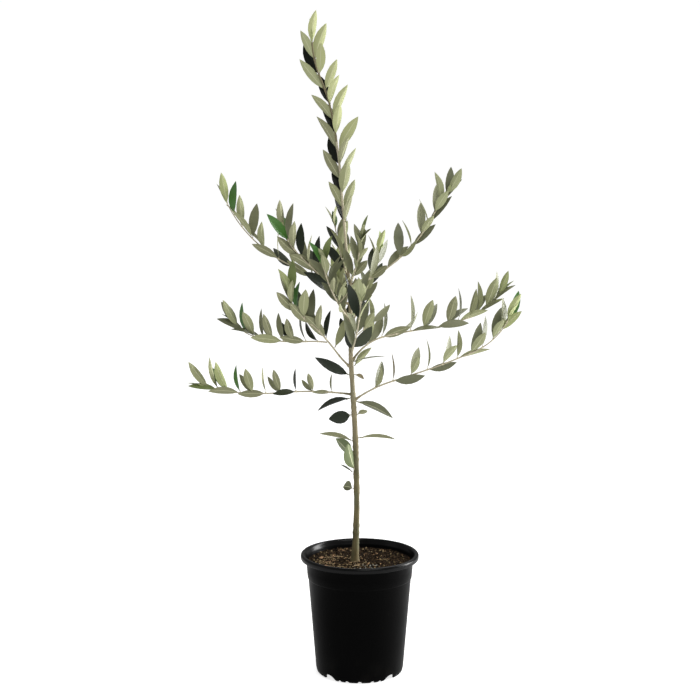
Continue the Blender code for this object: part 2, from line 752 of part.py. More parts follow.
def main():
    clear_scene()
    parts = new_collection("potted_olive_tree")
    cutters = new_collection("cutters", hidden=True)
    plastic, soil, bark, leaf = (new_material(*look) for look in (PLASTIC, SOIL, BARK, LEAF))

    make_pot(parts, cutters, plastic)
    make_soil(parts, soil)
    make_trunk(parts, bark)

    plan_shoots()
    limbs = [([trunk_at(low[0])[0], trunk_at(high[0])[0]], low[3])
             for low, high in zip(TRUNK_STATIONS, TRUNK_STATIONS[1:])]
    limbs += [(stretch(shoot.points, shoot.start, shoot.bare), shoot.radius)
              for shoot in SHOOTS if shoot.bare]
    pattern = leaf_pattern()
    corners = [vertex.co for vertex in pattern.vertices]
    faces = [tuple(face.vertices) for face in pattern.polygons]
    grown = {shoot.name: grow(shoot) for shoot in (LEADER, *SHOOTS)}
    kept = keep_own_space(grown, limbs, corners, faces)
    for shoot in (LEADER, *SHOOTS):
        if shoot.bare:
            make_bough(shoot, parts, bark)
        stems, leaves = grown[shoot.name]
        make_mass(shoot, stems, kept[shoot.name], pattern, parts, leaf)
        print(f"{shoot.name}: {len(kept[shoot.name])} of {len(leaves)} leaves")
    bpy.data.meshes.remove(pattern)
    print("leaves in all:", sum(len(leaves) for leaves in kept.values()))


main()
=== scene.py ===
# %% [markdown]
# # A young olive tree in its nursery pot
#
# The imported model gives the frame: a tapering pot, the soil in it, one slender
# trunk with its boughs, and a solid for the leaves of each shoot. This lesson
# dresses that frame. It makes a smooth moulded pot, loose potting soil, bark
# with relief, thin shoots, and several hundred leaves that follow the same
# growth rule as the solids, so that both have one outline.
#
# All sizes are in metres. +Z is up, -Y is the front, and the middle of the
# pot's underside is the origin.

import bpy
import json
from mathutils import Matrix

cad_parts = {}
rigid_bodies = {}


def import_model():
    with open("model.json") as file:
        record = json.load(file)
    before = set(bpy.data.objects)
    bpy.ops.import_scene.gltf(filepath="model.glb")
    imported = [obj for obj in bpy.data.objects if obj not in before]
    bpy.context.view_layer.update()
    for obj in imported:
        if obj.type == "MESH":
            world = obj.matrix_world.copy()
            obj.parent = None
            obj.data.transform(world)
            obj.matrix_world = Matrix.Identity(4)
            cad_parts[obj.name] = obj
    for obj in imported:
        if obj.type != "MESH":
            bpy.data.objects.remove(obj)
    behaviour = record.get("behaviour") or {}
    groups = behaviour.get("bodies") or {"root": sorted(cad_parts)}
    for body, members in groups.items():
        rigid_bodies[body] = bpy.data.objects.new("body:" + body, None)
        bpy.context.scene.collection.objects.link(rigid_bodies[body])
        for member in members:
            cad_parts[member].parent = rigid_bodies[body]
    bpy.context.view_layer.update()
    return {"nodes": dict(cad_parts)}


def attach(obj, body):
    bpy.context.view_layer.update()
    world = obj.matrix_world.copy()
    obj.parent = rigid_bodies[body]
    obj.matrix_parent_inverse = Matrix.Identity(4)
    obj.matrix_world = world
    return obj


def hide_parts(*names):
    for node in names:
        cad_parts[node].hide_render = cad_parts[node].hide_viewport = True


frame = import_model()
print("packed nodes:", len(frame["nodes"]))

# %% Modules and constants that every step uses
import json
import math
import random

import bmesh
import bpy
from mathutils import Matrix, Vector, kdtree, noise
from mathutils.bvhtree import BVHTree

BODY = "root"
SHARP_ANGLE = math.radians(35)
BOUGHS = sorted(name for name in frame["nodes"] if name.endswith("_bough"))
MASSES = sorted(name for name in frame["nodes"] if name.endswith("_foliage"))
print("boughs:", len(BOUGHS), "masses of leaves:", len(MASSES))

# %% [markdown]
# ## Camera
#
# A long lens keeps a tall, thin plant free of distortion. The camera stands
# a little above the middle of the crown and looks slightly down, so the soil
# shows as a narrow ellipse inside the rim.

# %% Camera
CAMERA_PLACE = (-0.0164, -3.6, 1.212)
CAMERA_PITCH = 10.33  # degrees below the level
CAMERA_LENS = 113.2  # millimetres, on a sensor 36 mm wide

camera_data = bpy.data.cameras.new("studio_camera")
camera_data.lens = CAMERA_LENS
camera_data.sensor_width = 36
camera = bpy.data.objects.new("studio_camera", camera_data)
camera.location = CAMERA_PLACE
camera.rotation_euler = (math.radians(90 - CAMERA_PITCH), 0, 0)
bpy.context.scene.collection.objects.link(camera)
bpy.context.scene.camera = camera
print("camera", CAMERA_PLACE, "lens", CAMERA_LENS, "mm")

# %% [markdown]
# ## Shader expressions
#
# Node trees are quick to read when they are written as sums. `Signal` wraps
# the output of a node, and its operators add Math nodes. `Finish` is one
# material: its `node` method adds any other node from a type, its settings
# and the values or links of its sockets.

# %% Signal: a node's output in an expression
class Signal:
    def __init__(self, finish, socket):
        self.finish = finish
        self.socket = socket

    def math(self, operation, first, second):
        return self.finish.node("Math", {"operation": operation}, {0: first, 1: second})

    def __add__(self, other):
        return self.math("ADD", self, other)

    def __rsub__(self, other):
        return self.math("SUBTRACT", other, self)

    def __mul__(self, other):
        return self.math("MULTIPLY", self, other)

    __radd__ = __add__
    __rmul__ = __mul__

# %% Finish: one material and its nodes
class Finish:
    def __init__(self, name, colour, roughness, **constants):
        self.material = bpy.data.materials.new(name)
        self.material.use_nodes = True
        self.tree = self.material.node_tree
        self.shader = self.tree.nodes["Principled BSDF"]
        self.set("Base Color", colour)
        self.set("Roughness", roughness)
        for socket, value in constants.items():
            self.set(socket.replace("_", " "), value)

    def feed(self, socket, value):
        if isinstance(value, Signal):
            self.tree.links.new(value.socket, socket)
        else:
            socket.default_value = value

    def set(self, socket, value):
        self.feed(self.shader.inputs[socket], value)

    def node(self, kind, settings, values, out=0):
        made = self.tree.nodes.new("ShaderNode" + kind)
        for name, value in settings.items():
            setattr(made, name, value)
        for key, value in values.items():
            self.feed(made.inputs[key], value)
        return Signal(self, made.outputs[out])

    def place(self, stretch=(1, 1, 1)):
        """Object coordinates, drawn out or pressed together along each axis."""
        spot = self.node("TexCoord", {}, {}, out=3)
        return self.node("VectorMath", {"operation": "MULTIPLY"}, {0: spot, 1: stretch})

    def noise(self, scale, detail=2.0, stretch=(1, 1, 1)):
        return self.node("TexNoise", {}, {"Vector": self.place(stretch), "Scale": scale,
                                          "Detail": detail})

    def steps(self, signal, low, high):
        """0 below low, 1 above high and a smooth change between them."""
        return self.node("MapRange", {"interpolation_type": "SMOOTHSTEP"},
                         {0: signal, 1: low, 2: high})

    def mix(self, factor, first, second):
        return self.node("Mix", {"data_type": "RGBA"}, {0: factor, 6: first, 7: second}, out=2)

    def bump(self, height, strength, distance):
        self.set("Normal", self.node("Bump", {}, {"Height": height, "Strength": strength,
                                                  "Distance": distance}))


def srgb(red, green, blue):
    """A colour given as a screen shows it, 0 to 255, as the shader wants it."""
    shares = (value / 255 for value in (red, green, blue))
    return tuple(((s + 0.055) / 1.055) ** 2.4 if s > 0.04045 else s / 12.92
                 for s in shares) + (1.0,)

# %% [markdown]
# ## Studio
#
# The plant stands on a pale floor in even, soft light. A large softbox over
# the front lights the leaves, a tall narrow one at the right models the
# crown, a weak one at the left fills the shadows, and one over the back
# lifts the edges. The dark pot mirrors the floor beside it, so a small
# softbox brightens the floor at the right. The world is bright where the
# camera sees it and dimmer as a lamp, so dark leaves keep their depth.

# %% Floor and world
FLOOR_RADIUS = 300
FLOOR_DROP = 0.0004  # keeps the floor out of the plane of the pot's foot
FLOOR_GLOW = 0.76
WORLD_SEEN = 1.0
WORLD_LAMP = 0.47


def grey(level):
    return level, level, level, 1


bpy.context.scene.view_settings.view_transform = "Standard"
bpy.ops.object.select_all(action="DESELECT")
bpy.ops.mesh.primitive_circle_add(vertices=96, radius=FLOOR_RADIUS, fill_type="NGON",
                                  location=(0, 0, -FLOOR_DROP))
floor = bpy.context.object
floor.name = "studio_floor"
bpy.ops.object.transform_apply(location=True)
paper = Finish("floor_paper", grey(0.50), 0.9)
paper.set("Base Color", paper.mix(paper.noise(3.0), grey(0.49), grey(0.52)))
paper.set("Emission Color", grey(1))
paper.set("Emission Strength", FLOOR_GLOW)
floor.data.materials.append(paper.material)

world = bpy.data.worlds.new("studio_world")
bpy.context.scene.world = world
world.use_nodes = True
tree = world.node_tree
backdrop = tree.nodes["Background"]
backdrop.inputs["Color"].default_value = grey(1)
path = tree.nodes.new("ShaderNodeLightPath")
dimmer = tree.nodes.new("ShaderNodeMapRange")
dimmer.inputs["To Min"].default_value = WORLD_LAMP
dimmer.inputs["To Max"].default_value = WORLD_SEEN
tree.links.new(path.outputs["Is Camera Ray"], dimmer.inputs["Value"])
tree.links.new(dimmer.outputs["Result"], backdrop.inputs["Strength"])
print("floor glow", FLOOR_GLOW, "world lamp", WORLD_LAMP)

# %% Softboxes
# Name, place, the point it faces, width, height and power in watts.
SOFTBOXES = (
    ("top_front", (1.0, -2.3, 3.0), (0, 0, 0.7), 2.2, 1.6, 62),
    ("right_strip", (2.2, 0.5, 0.8), (0, 0, 0.3), 0.6, 2.2, 80),
    ("right_floor", (1.3, 0.4, 0.45), (0.35, 0.1, 0), 0.5, 0.5, 14),
    ("left_fill", (-2.4, -0.6, 1.2), (0, 0, 0.6), 1.2, 2.0, 3),
    ("back_top", (0.6, 2.4, 2.6), (0, 0, 0.8), 2.2, 1.4, 40),
)
for name, place, target, width, height, power in SOFTBOXES:
    lamp = bpy.data.lights.new(name, "AREA")
    lamp.shape = "RECTANGLE"
    lamp.size, lamp.size_y = width, height
    lamp.energy = power
    holder = bpy.data.objects.new(name, lamp)
    holder.location = place
    aim = Vector(target) - Vector(place)
    holder.rotation_euler = aim.to_track_quat("-Z", "Y").to_euler()
    bpy.context.scene.collection.objects.link(holder)
print("softboxes:", len(SOFTBOXES))

# %% [markdown]
# ## Modelling helpers
#
# Every operator acts on what is selected, so each piece starts with nothing
# selected. A finished piece rides on the plant's one body and hides the
# imported nodes that it stands for.

# %% Helpers that start and finish a piece
MERGE_WITHIN = 0.000005


def start_piece(piece=None):
    """Goes to object mode with one piece selected, or nothing."""
    if bpy.context.mode != "OBJECT":
        bpy.ops.object.mode_set(mode="OBJECT")
    bpy.ops.object.select_all(action="DESELECT")
    if piece:
        piece.select_set(True)
        bpy.context.view_layer.objects.active = piece


def edit(piece):
    start_piece(piece)
    bpy.ops.object.mode_set(mode="EDIT")


def select_faces(test):
    """Selects the faces of the piece in edit mode that pass a test."""
    bpy.ops.mesh.select_mode(type="FACE")
    bpy.ops.mesh.select_all(action="DESELECT")
    form = bmesh.from_edit_mesh(bpy.context.object.data)
    for face in form.faces:
        if test(face):
            face.select_set(True)
    bmesh.update_edit_mesh(bpy.context.object.data)


def close_and_face_out(piece):
    """Merges doubled corners and turns all faces outwards."""
    edit(piece)
    bpy.ops.mesh.select_all(action="SELECT")
    bpy.ops.mesh.remove_doubles(threshold=MERGE_WITHIN)
    bpy.ops.mesh.normals_make_consistent(inside=False)
    bpy.ops.object.mode_set(mode="OBJECT")


def finish_piece(piece, nodes, finishes):
    """Shades a piece, puts it on the body and hides the nodes it stands for."""
    start_piece(piece)
    bpy.ops.object.transform_apply(location=True, rotation=True, scale=True)
    piece.data.shade_smooth()
    piece.data.set_sharp_from_angle(angle=SHARP_ANGLE)
    for finish in finishes:
        piece.data.materials.append(finish.material)
    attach(piece, BODY)
    if nodes:
        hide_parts(*nodes)
    piece.data.calc_loop_triangles()
    print(piece.name, "triangles:", len(piece.data.loop_triangles))

# %% Helpers for pieces of many copies
def new_piece(name, corners, faces):
    mesh = bpy.data.meshes.new(name)
    mesh.from_pydata(corners, [], faces)
    piece = bpy.data.objects.new(name, mesh)
    bpy.context.scene.collection.objects.link(piece)
    return piece


def add_copy(corners, faces, placed, sides):
    """Adds the corners and faces of one copy to those of a joined mesh."""
    first = len(corners)
    corners += placed
    faces += [tuple(first + index for index in side) for side in sides]


def pattern_of(piece):
    """Takes the corners and faces of a piece and removes it."""
    corners = [corner.co.copy() for corner in piece.data.vertices]
    faces = [tuple(face.vertices) for face in piece.data.polygons]
    bpy.data.objects.remove(piece)
    return corners, faces

# %% [markdown]
# ## The pot
#
# A nursery pot is blow-moulded or injection-moulded from thin black plastic.
# It tapers so that pots stack, has a rolled lip that stiffens it, a small
# step below the lip, and arches and notches at the foot that let water out.
# It could be spun from a profile. Here it is raised as on a wheel: a low
# disc, whose top face is extruded upwards and widened from ring to ring,
# turned over at the lip and taken down inside again. The face underneath is
# inset and pushed up, so the pot stands on a ring.

# %% Sizes of the pot
MM = 0.001
POT_HEIGHT = 0.207
POT_RIM_RADIUS = 0.100
POT_NECK_RADIUS = 0.0905
POT_NECK_HEIGHT = 0.1945
SHOULDER = 0.166  # height of the step in the wall
POT_SHOULDER_STEP = 0.0012
POT_BASE_RADIUS = 0.0735
POT_FOOT_RADIUS = 0.0685
POT_WALL = 0.0019
POT_LIP_HEIGHT = 0.0095
LIP_FOOT = POT_HEIGHT - POT_LIP_HEIGHT
LIP_GAP = 0.0015  # from the neck's outer side to the lip's inner side
POT_SIDES = 96
HEEL_RADIUS = 0.050
HEEL_HEIGHT = 0.017
INNER_FLOOR = 0.0145
FOOT_RING = 0.0030  # thickness of the ring that the pot stands on
RECESS_HEIGHT = 0.0108  # how far the pot's bottom is raised inside that ring


def wall_radius(height):
    """Outer radius of the tapering wall, with its step at the shoulder."""
    slope = (POT_NECK_RADIUS - POT_SHOULDER_STEP - POT_BASE_RADIUS) / POT_NECK_HEIGHT
    radius = POT_BASE_RADIUS + slope * height
    if height > SHOULDER:
        radius += POT_SHOULDER_STEP
    return radius


def wall_rings(inwards, *heights):
    return [(wall_radius(height) - inwards, height) for height in heights]


def rings(radius, height, *steps):
    """Rings so many millimetres outwards and upwards from a radius and a height."""
    return [(radius + out * MM, height + up * MM) for out, up in steps]


# Radius and height of each ring, from the foot up, over the lip and down inside.
POT_RINGS = (
    # Rounded foot and wall.
    rings(POT_FOOT_RADIUS, 0, (1.4, 0.4))
    + rings(POT_BASE_RADIUS, 0, (-2.6, 1.2), (-1.2, 2.6), (-0.4, 4.5))
    + wall_rings(0, 0.010, 0.060, 0.110, SHOULDER - 1.2 * MM)
    # Step at the shoulder, and neck.
    + rings(wall_radius(SHOULDER - 0.8 * MM), SHOULDER, (0.2, -0.6))
    + rings(wall_radius(SHOULDER + 0.2 * MM), SHOULDER, (-0.3, 0.2))
    + rings(wall_radius(SHOULDER + 1.0 * MM), SHOULDER, (0, 0.8))
    + wall_rings(0, 0.180)
    + [(POT_NECK_RADIUS, POT_NECK_HEIGHT)]
    # Rolled lip: underneath, up its outer side and down its inner side.
    + rings(POT_NECK_RADIUS, LIP_FOOT, (1.2, -1.0), (3.0, -0.6))
    + rings(POT_RIM_RADIUS, LIP_FOOT, (-3.4, -0.2), (-1.8, 0), (-0.8, 0.6), (-0.3, 1.6))
    + rings(POT_RIM_RADIUS, POT_HEIGHT, (0, -4.5), (-0.2, -2.8), (-0.8, -1.4), (-1.8, -0.5),
            (-3.2, -0.1))
    + rings(POT_NECK_RADIUS + LIP_GAP, POT_HEIGHT, (3.6, 0), (2.2, -0.4), (1.0, -1.4),
            (0, -3.5))
    # Inner side of the wall, down to the heel and the floor.
    + rings(POT_NECK_RADIUS, POT_NECK_HEIGHT, (0, 2))
    + rings(wall_radius(POT_NECK_HEIGHT) - POT_WALL, POT_NECK_HEIGHT, (0, -0.5))
    + wall_rings(POT_WALL, 0.150, HEEL_HEIGHT)
    + [(HEEL_RADIUS, INNER_FLOOR)])
print("pot rings:", len(POT_RINGS))

# %% Raise the pot ring by ring
def widen(radius, new_radius, height):
    share = new_radius / radius
    bpy.ops.transform.resize(value=(share, share, 1), center_override=(0, 0, height))


def raise_ring(radius, height, new_radius, new_height):
    """Extrudes the selected face straight up or down, then widens or narrows it."""
    bpy.ops.mesh.extrude_region_move(
        TRANSFORM_OT_translate={"value": (0, 0, new_height - height)})
    widen(radius, new_radius, new_height)


first_radius, first_height = POT_RINGS[0]
start_piece()
bpy.ops.mesh.primitive_cylinder_add(vertices=POT_SIDES, radius=POT_FOOT_RADIUS,
                                    depth=first_height, location=(0, 0, first_height / 2))
pot = bpy.context.object
pot.name = "moulded_pot"
bpy.ops.object.transform_apply(location=True)
edit(pot)
select_faces(lambda face: face.normal.z > 0.9)
widen(POT_FOOT_RADIUS, first_radius, first_height)
for lower, upper in zip(POT_RINGS, POT_RINGS[1:]):
    raise_ring(*lower, *upper)
select_faces(lambda face: face.normal.z < -0.99 and face.calc_center_median().z < 0.0001)
bpy.ops.mesh.inset(thickness=FOOT_RING)
raise_ring(POT_FOOT_RADIUS - FOOT_RING, 0.0, wall_radius(RECESS_HEIGHT) - FOOT_RING,
           RECESS_HEIGHT)
close_and_face_out(pot)
print("pot faces:", len(pot.data.polygons))

# %% [markdown]
# ### Arches and notches at the foot
#
# The drain openings are cut through the foot ring with cylinders that lie
# level and point to the middle of the pot: four wide arches at the diagonals
# and five small notches in each foot between them. The cutters are joined
# into one mesh, so a single Boolean modifier does all the cutting.

# %% Cut the foot
ARCH_COUNT = 4
ARCH_RADIUS = 0.0140
ARCH_DROP = 0.0042  # how far its middle lies under the floor
ARCH_DEPTH = 0.0105  # how far it reaches into the pot
NOTCH_RADIUS = 0.0038
NOTCH_DROP = 0.0002
NOTCH_DEPTH = 0.0110
NOTCH_ANGLES = (-28.5, -17.5, 0.0, 17.5, 28.5)  # degrees from the middle of a foot
CUTTER_SIDES = 32
CUTTER_SPARE = 0.006  # how far a cutter stands out of the wall


def foot_cutter(radius, drop, depth, degrees):
    """A level cylinder that reaches in from outside the pot's lower edge."""
    reach = depth + CUTTER_SPARE
    middle = POT_BASE_RADIUS - depth + reach / 2
    angle = math.radians(degrees)
    start_piece()
    bpy.ops.mesh.primitive_cylinder_add(
        vertices=CUTTER_SIDES, radius=radius, depth=reach,
        location=(middle * math.cos(angle), middle * math.sin(angle), -drop),
        rotation=(0, math.radians(90), angle))
    return bpy.context.object


cutters = []
for quarter in range(ARCH_COUNT):
    turned = 90 * quarter
    cutters.append(foot_cutter(ARCH_RADIUS, ARCH_DROP, ARCH_DEPTH, 45 + turned))
    for notch in NOTCH_ANGLES:
        cutters.append(foot_cutter(NOTCH_RADIUS, NOTCH_DROP, NOTCH_DEPTH, turned + notch))
start_piece(cutters[0])
for cutter in cutters:
    cutter.select_set(True)
bpy.ops.object.join()
cut = pot.modifiers.new("foot_cut", "BOOLEAN")
cut.operation = "DIFFERENCE"
cut.solver = "MANIFOLD"
cut.object = cutters[0]
start_piece(pot)
bpy.ops.object.modifier_apply(modifier=cut.name)
bpy.data.objects.remove(cutters[0])
pot.data.materials.clear()
print("pot faces after cutting:", len(pot.data.polygons))

# %% [markdown]
# ### Satin black plastic
#
# Moulded plastic is almost black, with a broad, soft highlight. Its skin is
# slightly uneven from the mould, and handling leaves the roughness patchy
# and the lip a little glossier, as a thin coat that only covers the lip.
# A trace of pale dust gathers low on the wall.

# %% Finish of the pot
LIP_GLOSS = 0.20
DUST_TOP = 0.06
PLASTIC_BLACK = srgb(3, 3, 3)

plastic = Finish("black_satin_plastic", PLASTIC_BLACK, 0.42, Specular_IOR_Level=0.015,
                 Coat_Roughness=0.22)
patches = plastic.noise(28.0, detail=4.0)
streaks = plastic.noise(60.0, detail=2.0, stretch=(1, 1, 0.15))
grain = plastic.noise(1500.0, detail=1.0)
up = plastic.node("SeparateXYZ", {}, {0: plastic.place()}, out=2)
dust = (1 - plastic.steps(up, 0.0, DUST_TOP)) * plastic.steps(patches, 0.45, 0.75) * 0.35
plastic.set("Base Color", plastic.mix(dust, PLASTIC_BLACK, srgb(20, 19, 17)))
plastic.set("Coat Weight", plastic.steps(up, LIP_FOOT - MM, LIP_FOOT + 2 * MM) * LIP_GLOSS)
plastic.set("Roughness", patches * 0.16 + streaks * 0.08 + 0.30)
plastic.bump(grain * 0.5 + patches * 0.5, 0.12, 0.0004)
finish_piece(pot, ["pot"], [plastic])

# %% [markdown]
# ## Potting soil
#
# The soil is a mix of dark peat, bark chips, a few grey perlite grains and
# bits of root. Its surface could be a flat disc with a bump map, but it is
# seen at a low angle over the rim, where a bump map looks flat. So the mound
# is a real mesh with relief, and loose bits are strewn on it.

# %% A mound of soil inside the pot
SOIL_HEIGHT = 0.193
SOIL_EDGE = wall_radius(SOIL_HEIGHT) - POT_WALL - 0.0004
SOIL_DEPTH = 0.030
SOIL_FOOT = wall_radius(SOIL_HEIGHT - SOIL_DEPTH) - POT_WALL - 0.0006
SOIL_SIDES = 72
SOIL_CUTS = 13
SOIL_RELIEF = 0.0024
CALM_EDGE = 0.012  # width of the rim of the soil where its lumps fade
LUMPS_PER_METRE, GRAINS_PER_METRE = 55, 190


def soil_relief(x, y):
    """Height of the lumpy surface over its mean level."""
    coarse = noise.noise(Vector((x, y, 0)) * LUMPS_PER_METRE)
    fine = noise.noise(Vector((x, y, 5)) * GRAINS_PER_METRE)
    edge = min(1.0, (SOIL_EDGE - math.hypot(x, y)) / CALM_EDGE)
    return (coarse * 0.65 + fine * 0.35) * SOIL_RELIEF * max(edge, 0.15)


start_piece()
bpy.ops.mesh.primitive_cylinder_add(vertices=SOIL_SIDES, radius=SOIL_EDGE, depth=SOIL_DEPTH,
                                    end_fill_type="TRIFAN",
                                    location=(0, 0, SOIL_HEIGHT - SOIL_DEPTH / 2))
soil = bpy.context.object
soil.name = "soil_mound"
bpy.ops.object.transform_apply(location=True)
edit(soil)
select_faces(lambda face: face.normal.z < -0.9)
widen(SOIL_EDGE, SOIL_FOOT, 0)
select_faces(lambda face: face.normal.z > 0.9)
bpy.ops.mesh.subdivide(number_cuts=SOIL_CUTS)
start_piece()
for corner in soil.data.vertices:
    if corner.co.z > SOIL_HEIGHT - MM:
        corner.co.z = SOIL_HEIGHT + soil_relief(corner.co.x, corner.co.y)
print("soil corners:", len(soil.data.vertices))

# %% Finish of the soil
peat = Finish("dark_peat", srgb(45, 35, 28), 0.95, Specular_IOR_Level=0.02)
lumps = peat.noise(160.0, detail=5.0)
fibres = peat.noise(420.0, detail=3.0, stretch=(1, 0.4, 1))
peat.set("Base Color", peat.mix(peat.steps(lumps, 0.35, 0.7), srgb(10, 8, 6),
                                srgb(48, 38, 28)))
peat.set("Roughness", 0.98 - lumps * 0.15)
peat.bump(lumps * 0.6 + fibres * 0.4, 0.8, 0.0012)
finish_piece(soil, ["soil"], [peat])

# %% [markdown]
# ### Crumbs, lumps, chips, perlite and strands
#
# Each kind has five patterns, made from a primitive whose corners are pushed
# in or out. They are copied to many places, each copy with its own size and
# turn, and all copies of a kind are one joined mesh. A copy lies on the soil
# and is partly sunk in it.

# %% Strew one kind of bit over the soil
PATTERNS = 5
UNEVEN = 0.22  # how far the corners of a pattern are pushed in or out


def crumb_finish(name, dark, light, roughness):
    finish = Finish(name, light, roughness, Specular_IOR_Level=0.04)
    tone = finish.noise(350.0, detail=3.0)
    finish.set("Base Color", finish.mix(finish.steps(tone, 0.35, 0.65), dark, light))
    finish.bump(tone, 0.5, 0.0004)
    return finish


def lump_pattern(dice):
    """A ball of twenty faces with each corner pushed in or out."""
    start_piece()
    bpy.ops.mesh.primitive_ico_sphere_add(subdivisions=1, radius=0.5)
    corners, faces = pattern_of(bpy.context.object)
    return [corner * dice.uniform(1 - UNEVEN, 1 + UNEVEN) for corner in corners], faces


def strew(dice, count, spread, middle, sizes, tilt, sink):
    """Corners and faces of many bits, each with its own place, turn and size."""
    patterns = [lump_pattern(dice) for _ in range(PATTERNS)]
    tilt = math.radians(tilt)
    corners, faces = [], []
    for _ in range(count):
        pattern, sides = dice.choice(patterns)
        reach = math.sqrt(dice.random()) * spread
        bearing = dice.uniform(0, math.tau)
        x = middle[0] + reach * math.cos(bearing)
        y = middle[1] + reach * math.sin(bearing)
        size = [dice.uniform(low * MM, high * MM) for low, high in sizes]
        turn = (Matrix.Rotation(dice.uniform(0, math.tau), 3, "Z")
                @ Matrix.Rotation(dice.uniform(-tilt, tilt), 3, "X")
                @ Matrix.Rotation(dice.uniform(-tilt, tilt), 3, "Y"))
        ground = Vector((x, y, SOIL_HEIGHT + soil_relief(x, y) + min(size) * (0.5 - sink)))
        placed = [ground + turn @ Vector(part * share for part, share in zip(corner, size))
                  for corner in pattern]
        add_copy(corners, faces, placed, sides)
    return corners, faces

# %% The kinds of loose bits
# Piece, finish, its dark and light colour and roughness, how many bits there are, how
# far they spread round which middle, the lowest and highest of their three sizes in
# millimetres, their tilt in degrees and how far they sink in.
BITS = (
    ("peat_crumbs", "crumb_dark", (7, 5, 3), (70, 56, 41), 0.95,
     760, SOIL_EDGE - 0.003, (0, 0), ((1.5, 4.6),) * 3, 180, 0.25),
    ("peat_lumps", "lump_olive_brown", (48, 41, 27), (142, 124, 94), 0.95,
     120, SOIL_EDGE - 0.004, (0, 0), ((2.5, 5.5), (2, 4.5), (2, 4)), 180, 0.25),
    ("bark_chips", "chip_brown", (52, 38, 26), (146, 118, 88), 0.9,
     64, SOIL_EDGE - 0.007, (0, 0), ((5, 12), (2.5, 5.5), (0.8, 1.8)), 26, 0.25),
    ("bark_flakes", "flake_tan", (112, 86, 62), (180, 146, 114), 0.9,
     20, 0.050, (-0.028, -0.012), ((6, 14), (3.5, 7), (0.8, 1.6)), 26, 0.25),
    ("perlite_grains", "perlite_grey", (118, 120, 112), (178, 176, 166), 0.9,
     26, 0.030, (0.010, -0.046), ((1.6, 3.4),) * 3, 180, 0.25),
    ("root_strands", "strand_tan", (96, 82, 58), (172, 150, 116), 0.85,
     40, 0.044, (-0.030, -0.010), ((16, 34), (0.9, 1.5), (0.8, 1.2)), 6, -0.1),
)
for seed, (name, finish_name, dark, light, roughness, *places) in enumerate(BITS, 40):
    piece = new_piece(name, *strew(random.Random(seed), *places))
    finish_piece(piece, [],
                 [crumb_finish(finish_name, srgb(*dark), srgb(*light), roughness)])

# %% [markdown]
# ## The growth plan
#
# An olive carries its leaves in opposite pairs, each pair turned a quarter
# from the one before it. On a level shoot the leaves turn their upper sides
# to the light and stand up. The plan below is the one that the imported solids
# were grown by, written again: one row for each shoot, with its course as
# rises along its length, so that leaves and solids have the same outline.

# %% Sizes of the trunk and of a shoot
GAP = 0.0003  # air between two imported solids
# Height, offset to the right, offset to the back and radius of the trunk's axis.
TRUNK_STATIONS = (
    (SOIL_HEIGHT + GAP, -0.0080, 0.000, 0.0078),
    (0.203, -0.0078, 0.000, 0.0064),
    (0.236, -0.0064, 0.001, 0.0054),
    (0.300, -0.0050, 0.003, 0.0047),
    (0.400, -0.0072, 0.004, 0.0046),
    (0.480, -0.0113, 0.002, 0.0041),
    (0.540, -0.0148, -0.001, 0.0035),
    (0.610, -0.0154, -0.003, 0.0030),
    (0.670, -0.0178, -0.002, 0.0027),
    (0.712, -0.0216, 0.000, 0.0024),
)
TRUNK_FOOT, TRUNK_TOP = TRUNK_STATIONS[0][0], TRUNK_STATIONS[-1][0]
TRUNK_STEP = 0.016  # height over which the trunk's direction is taken
SHOOT_STEP = 0.015  # length of one straight piece of a shoot
SHOOT_TIP_SHARE = 0.55  # a shoot's tip radius as a share of its base radius
PITCH_RATIO = 0.935  # each gap between leaf pairs against the one before it

LEAF_SPREAD = 50.0  # degrees between a shoot and a leaf before light bends it
LEAF_LIFT = 1.15  # how strongly a leaf on the upper side turns to the sky
LEAF_LEAN = 0.32  # and back against its shoot
LEAF_ALONG = 0.75  # how far a leaf on the lower side is laid along its shoot
LEAF_HOLD = 0.78  # and how strongly it is held up
LEAF_WIDTH_SHARE = 0.29
# Places along the blade and shares of its width: of the solids' rings, and of the points
# at which a leaf's room is tested.
LEAF_RINGS = ((0.29, 0.94), (0.68, 0.92))
LEAF_TESTS = ((0.3, 0.9), (0.5, 1.0), (0.7, 0.9), (1.0, 0.0))
LEAF_CURL = 0.05  # how far the blade's middle bows, as a share of its length
LEAF_TWIST = 35.0  # degrees at most about its own length
LOW_LEAF_TWIST = 65.0  # more for a leaf that points down
LEAF_SINK = 0.0006  # how far a leaf's root lies past its shoot's axis
LEAF_CLEARANCE = 0.0012
END_MARGIN = 0.002  # from the last leaf pair to the shoot's tip
TIP_CLOSING = 0.55  # how far the youngest leaves still lie along their shoot
CLOSING_POWER = 6  # how late along the shoot that closing sets in
PAIR_JITTER = 15.0
LOST_LEAF_SHARE = 0.07

LEAF_SIZE_RANGE = (0.88, 1.12)
LEAF_OPENING_JITTER = 10.0
LEAF_FORWARD = 0.45  # how far a leaf's upper side faces along its shoot
STEEP = 0.97  # a course that rises more turns its pairs by the front, not by the sky
BACK_SIDE = 0.35  # a leaf that points further back than this shows its upper side in front
LOW_SIDE = -0.5  # a leaf that points further down than this is turned about its middle rib
SKY = Vector((0, 0, 1))
FRONT = Vector((0, -1, 0))

END_LEAF_SHARE = 0.7  # the leaf that ends a shoot against its neighbours
LEAF_STALK = 0.004  # bare stalk of a leaf that sits on the trunk or a bough
STALK_RADIUS = 0.0009

TWIG_LENGTH = 0.034
TWIG_SPREAD = 48.0
TWIG_RADIUS = 0.0008
TWIG_TIP_SHARE = 0.7
TWIG_LIFT = 0.35
TWIG_PAIRS = 2
TWIG_LEAF_SHARE = 0.78

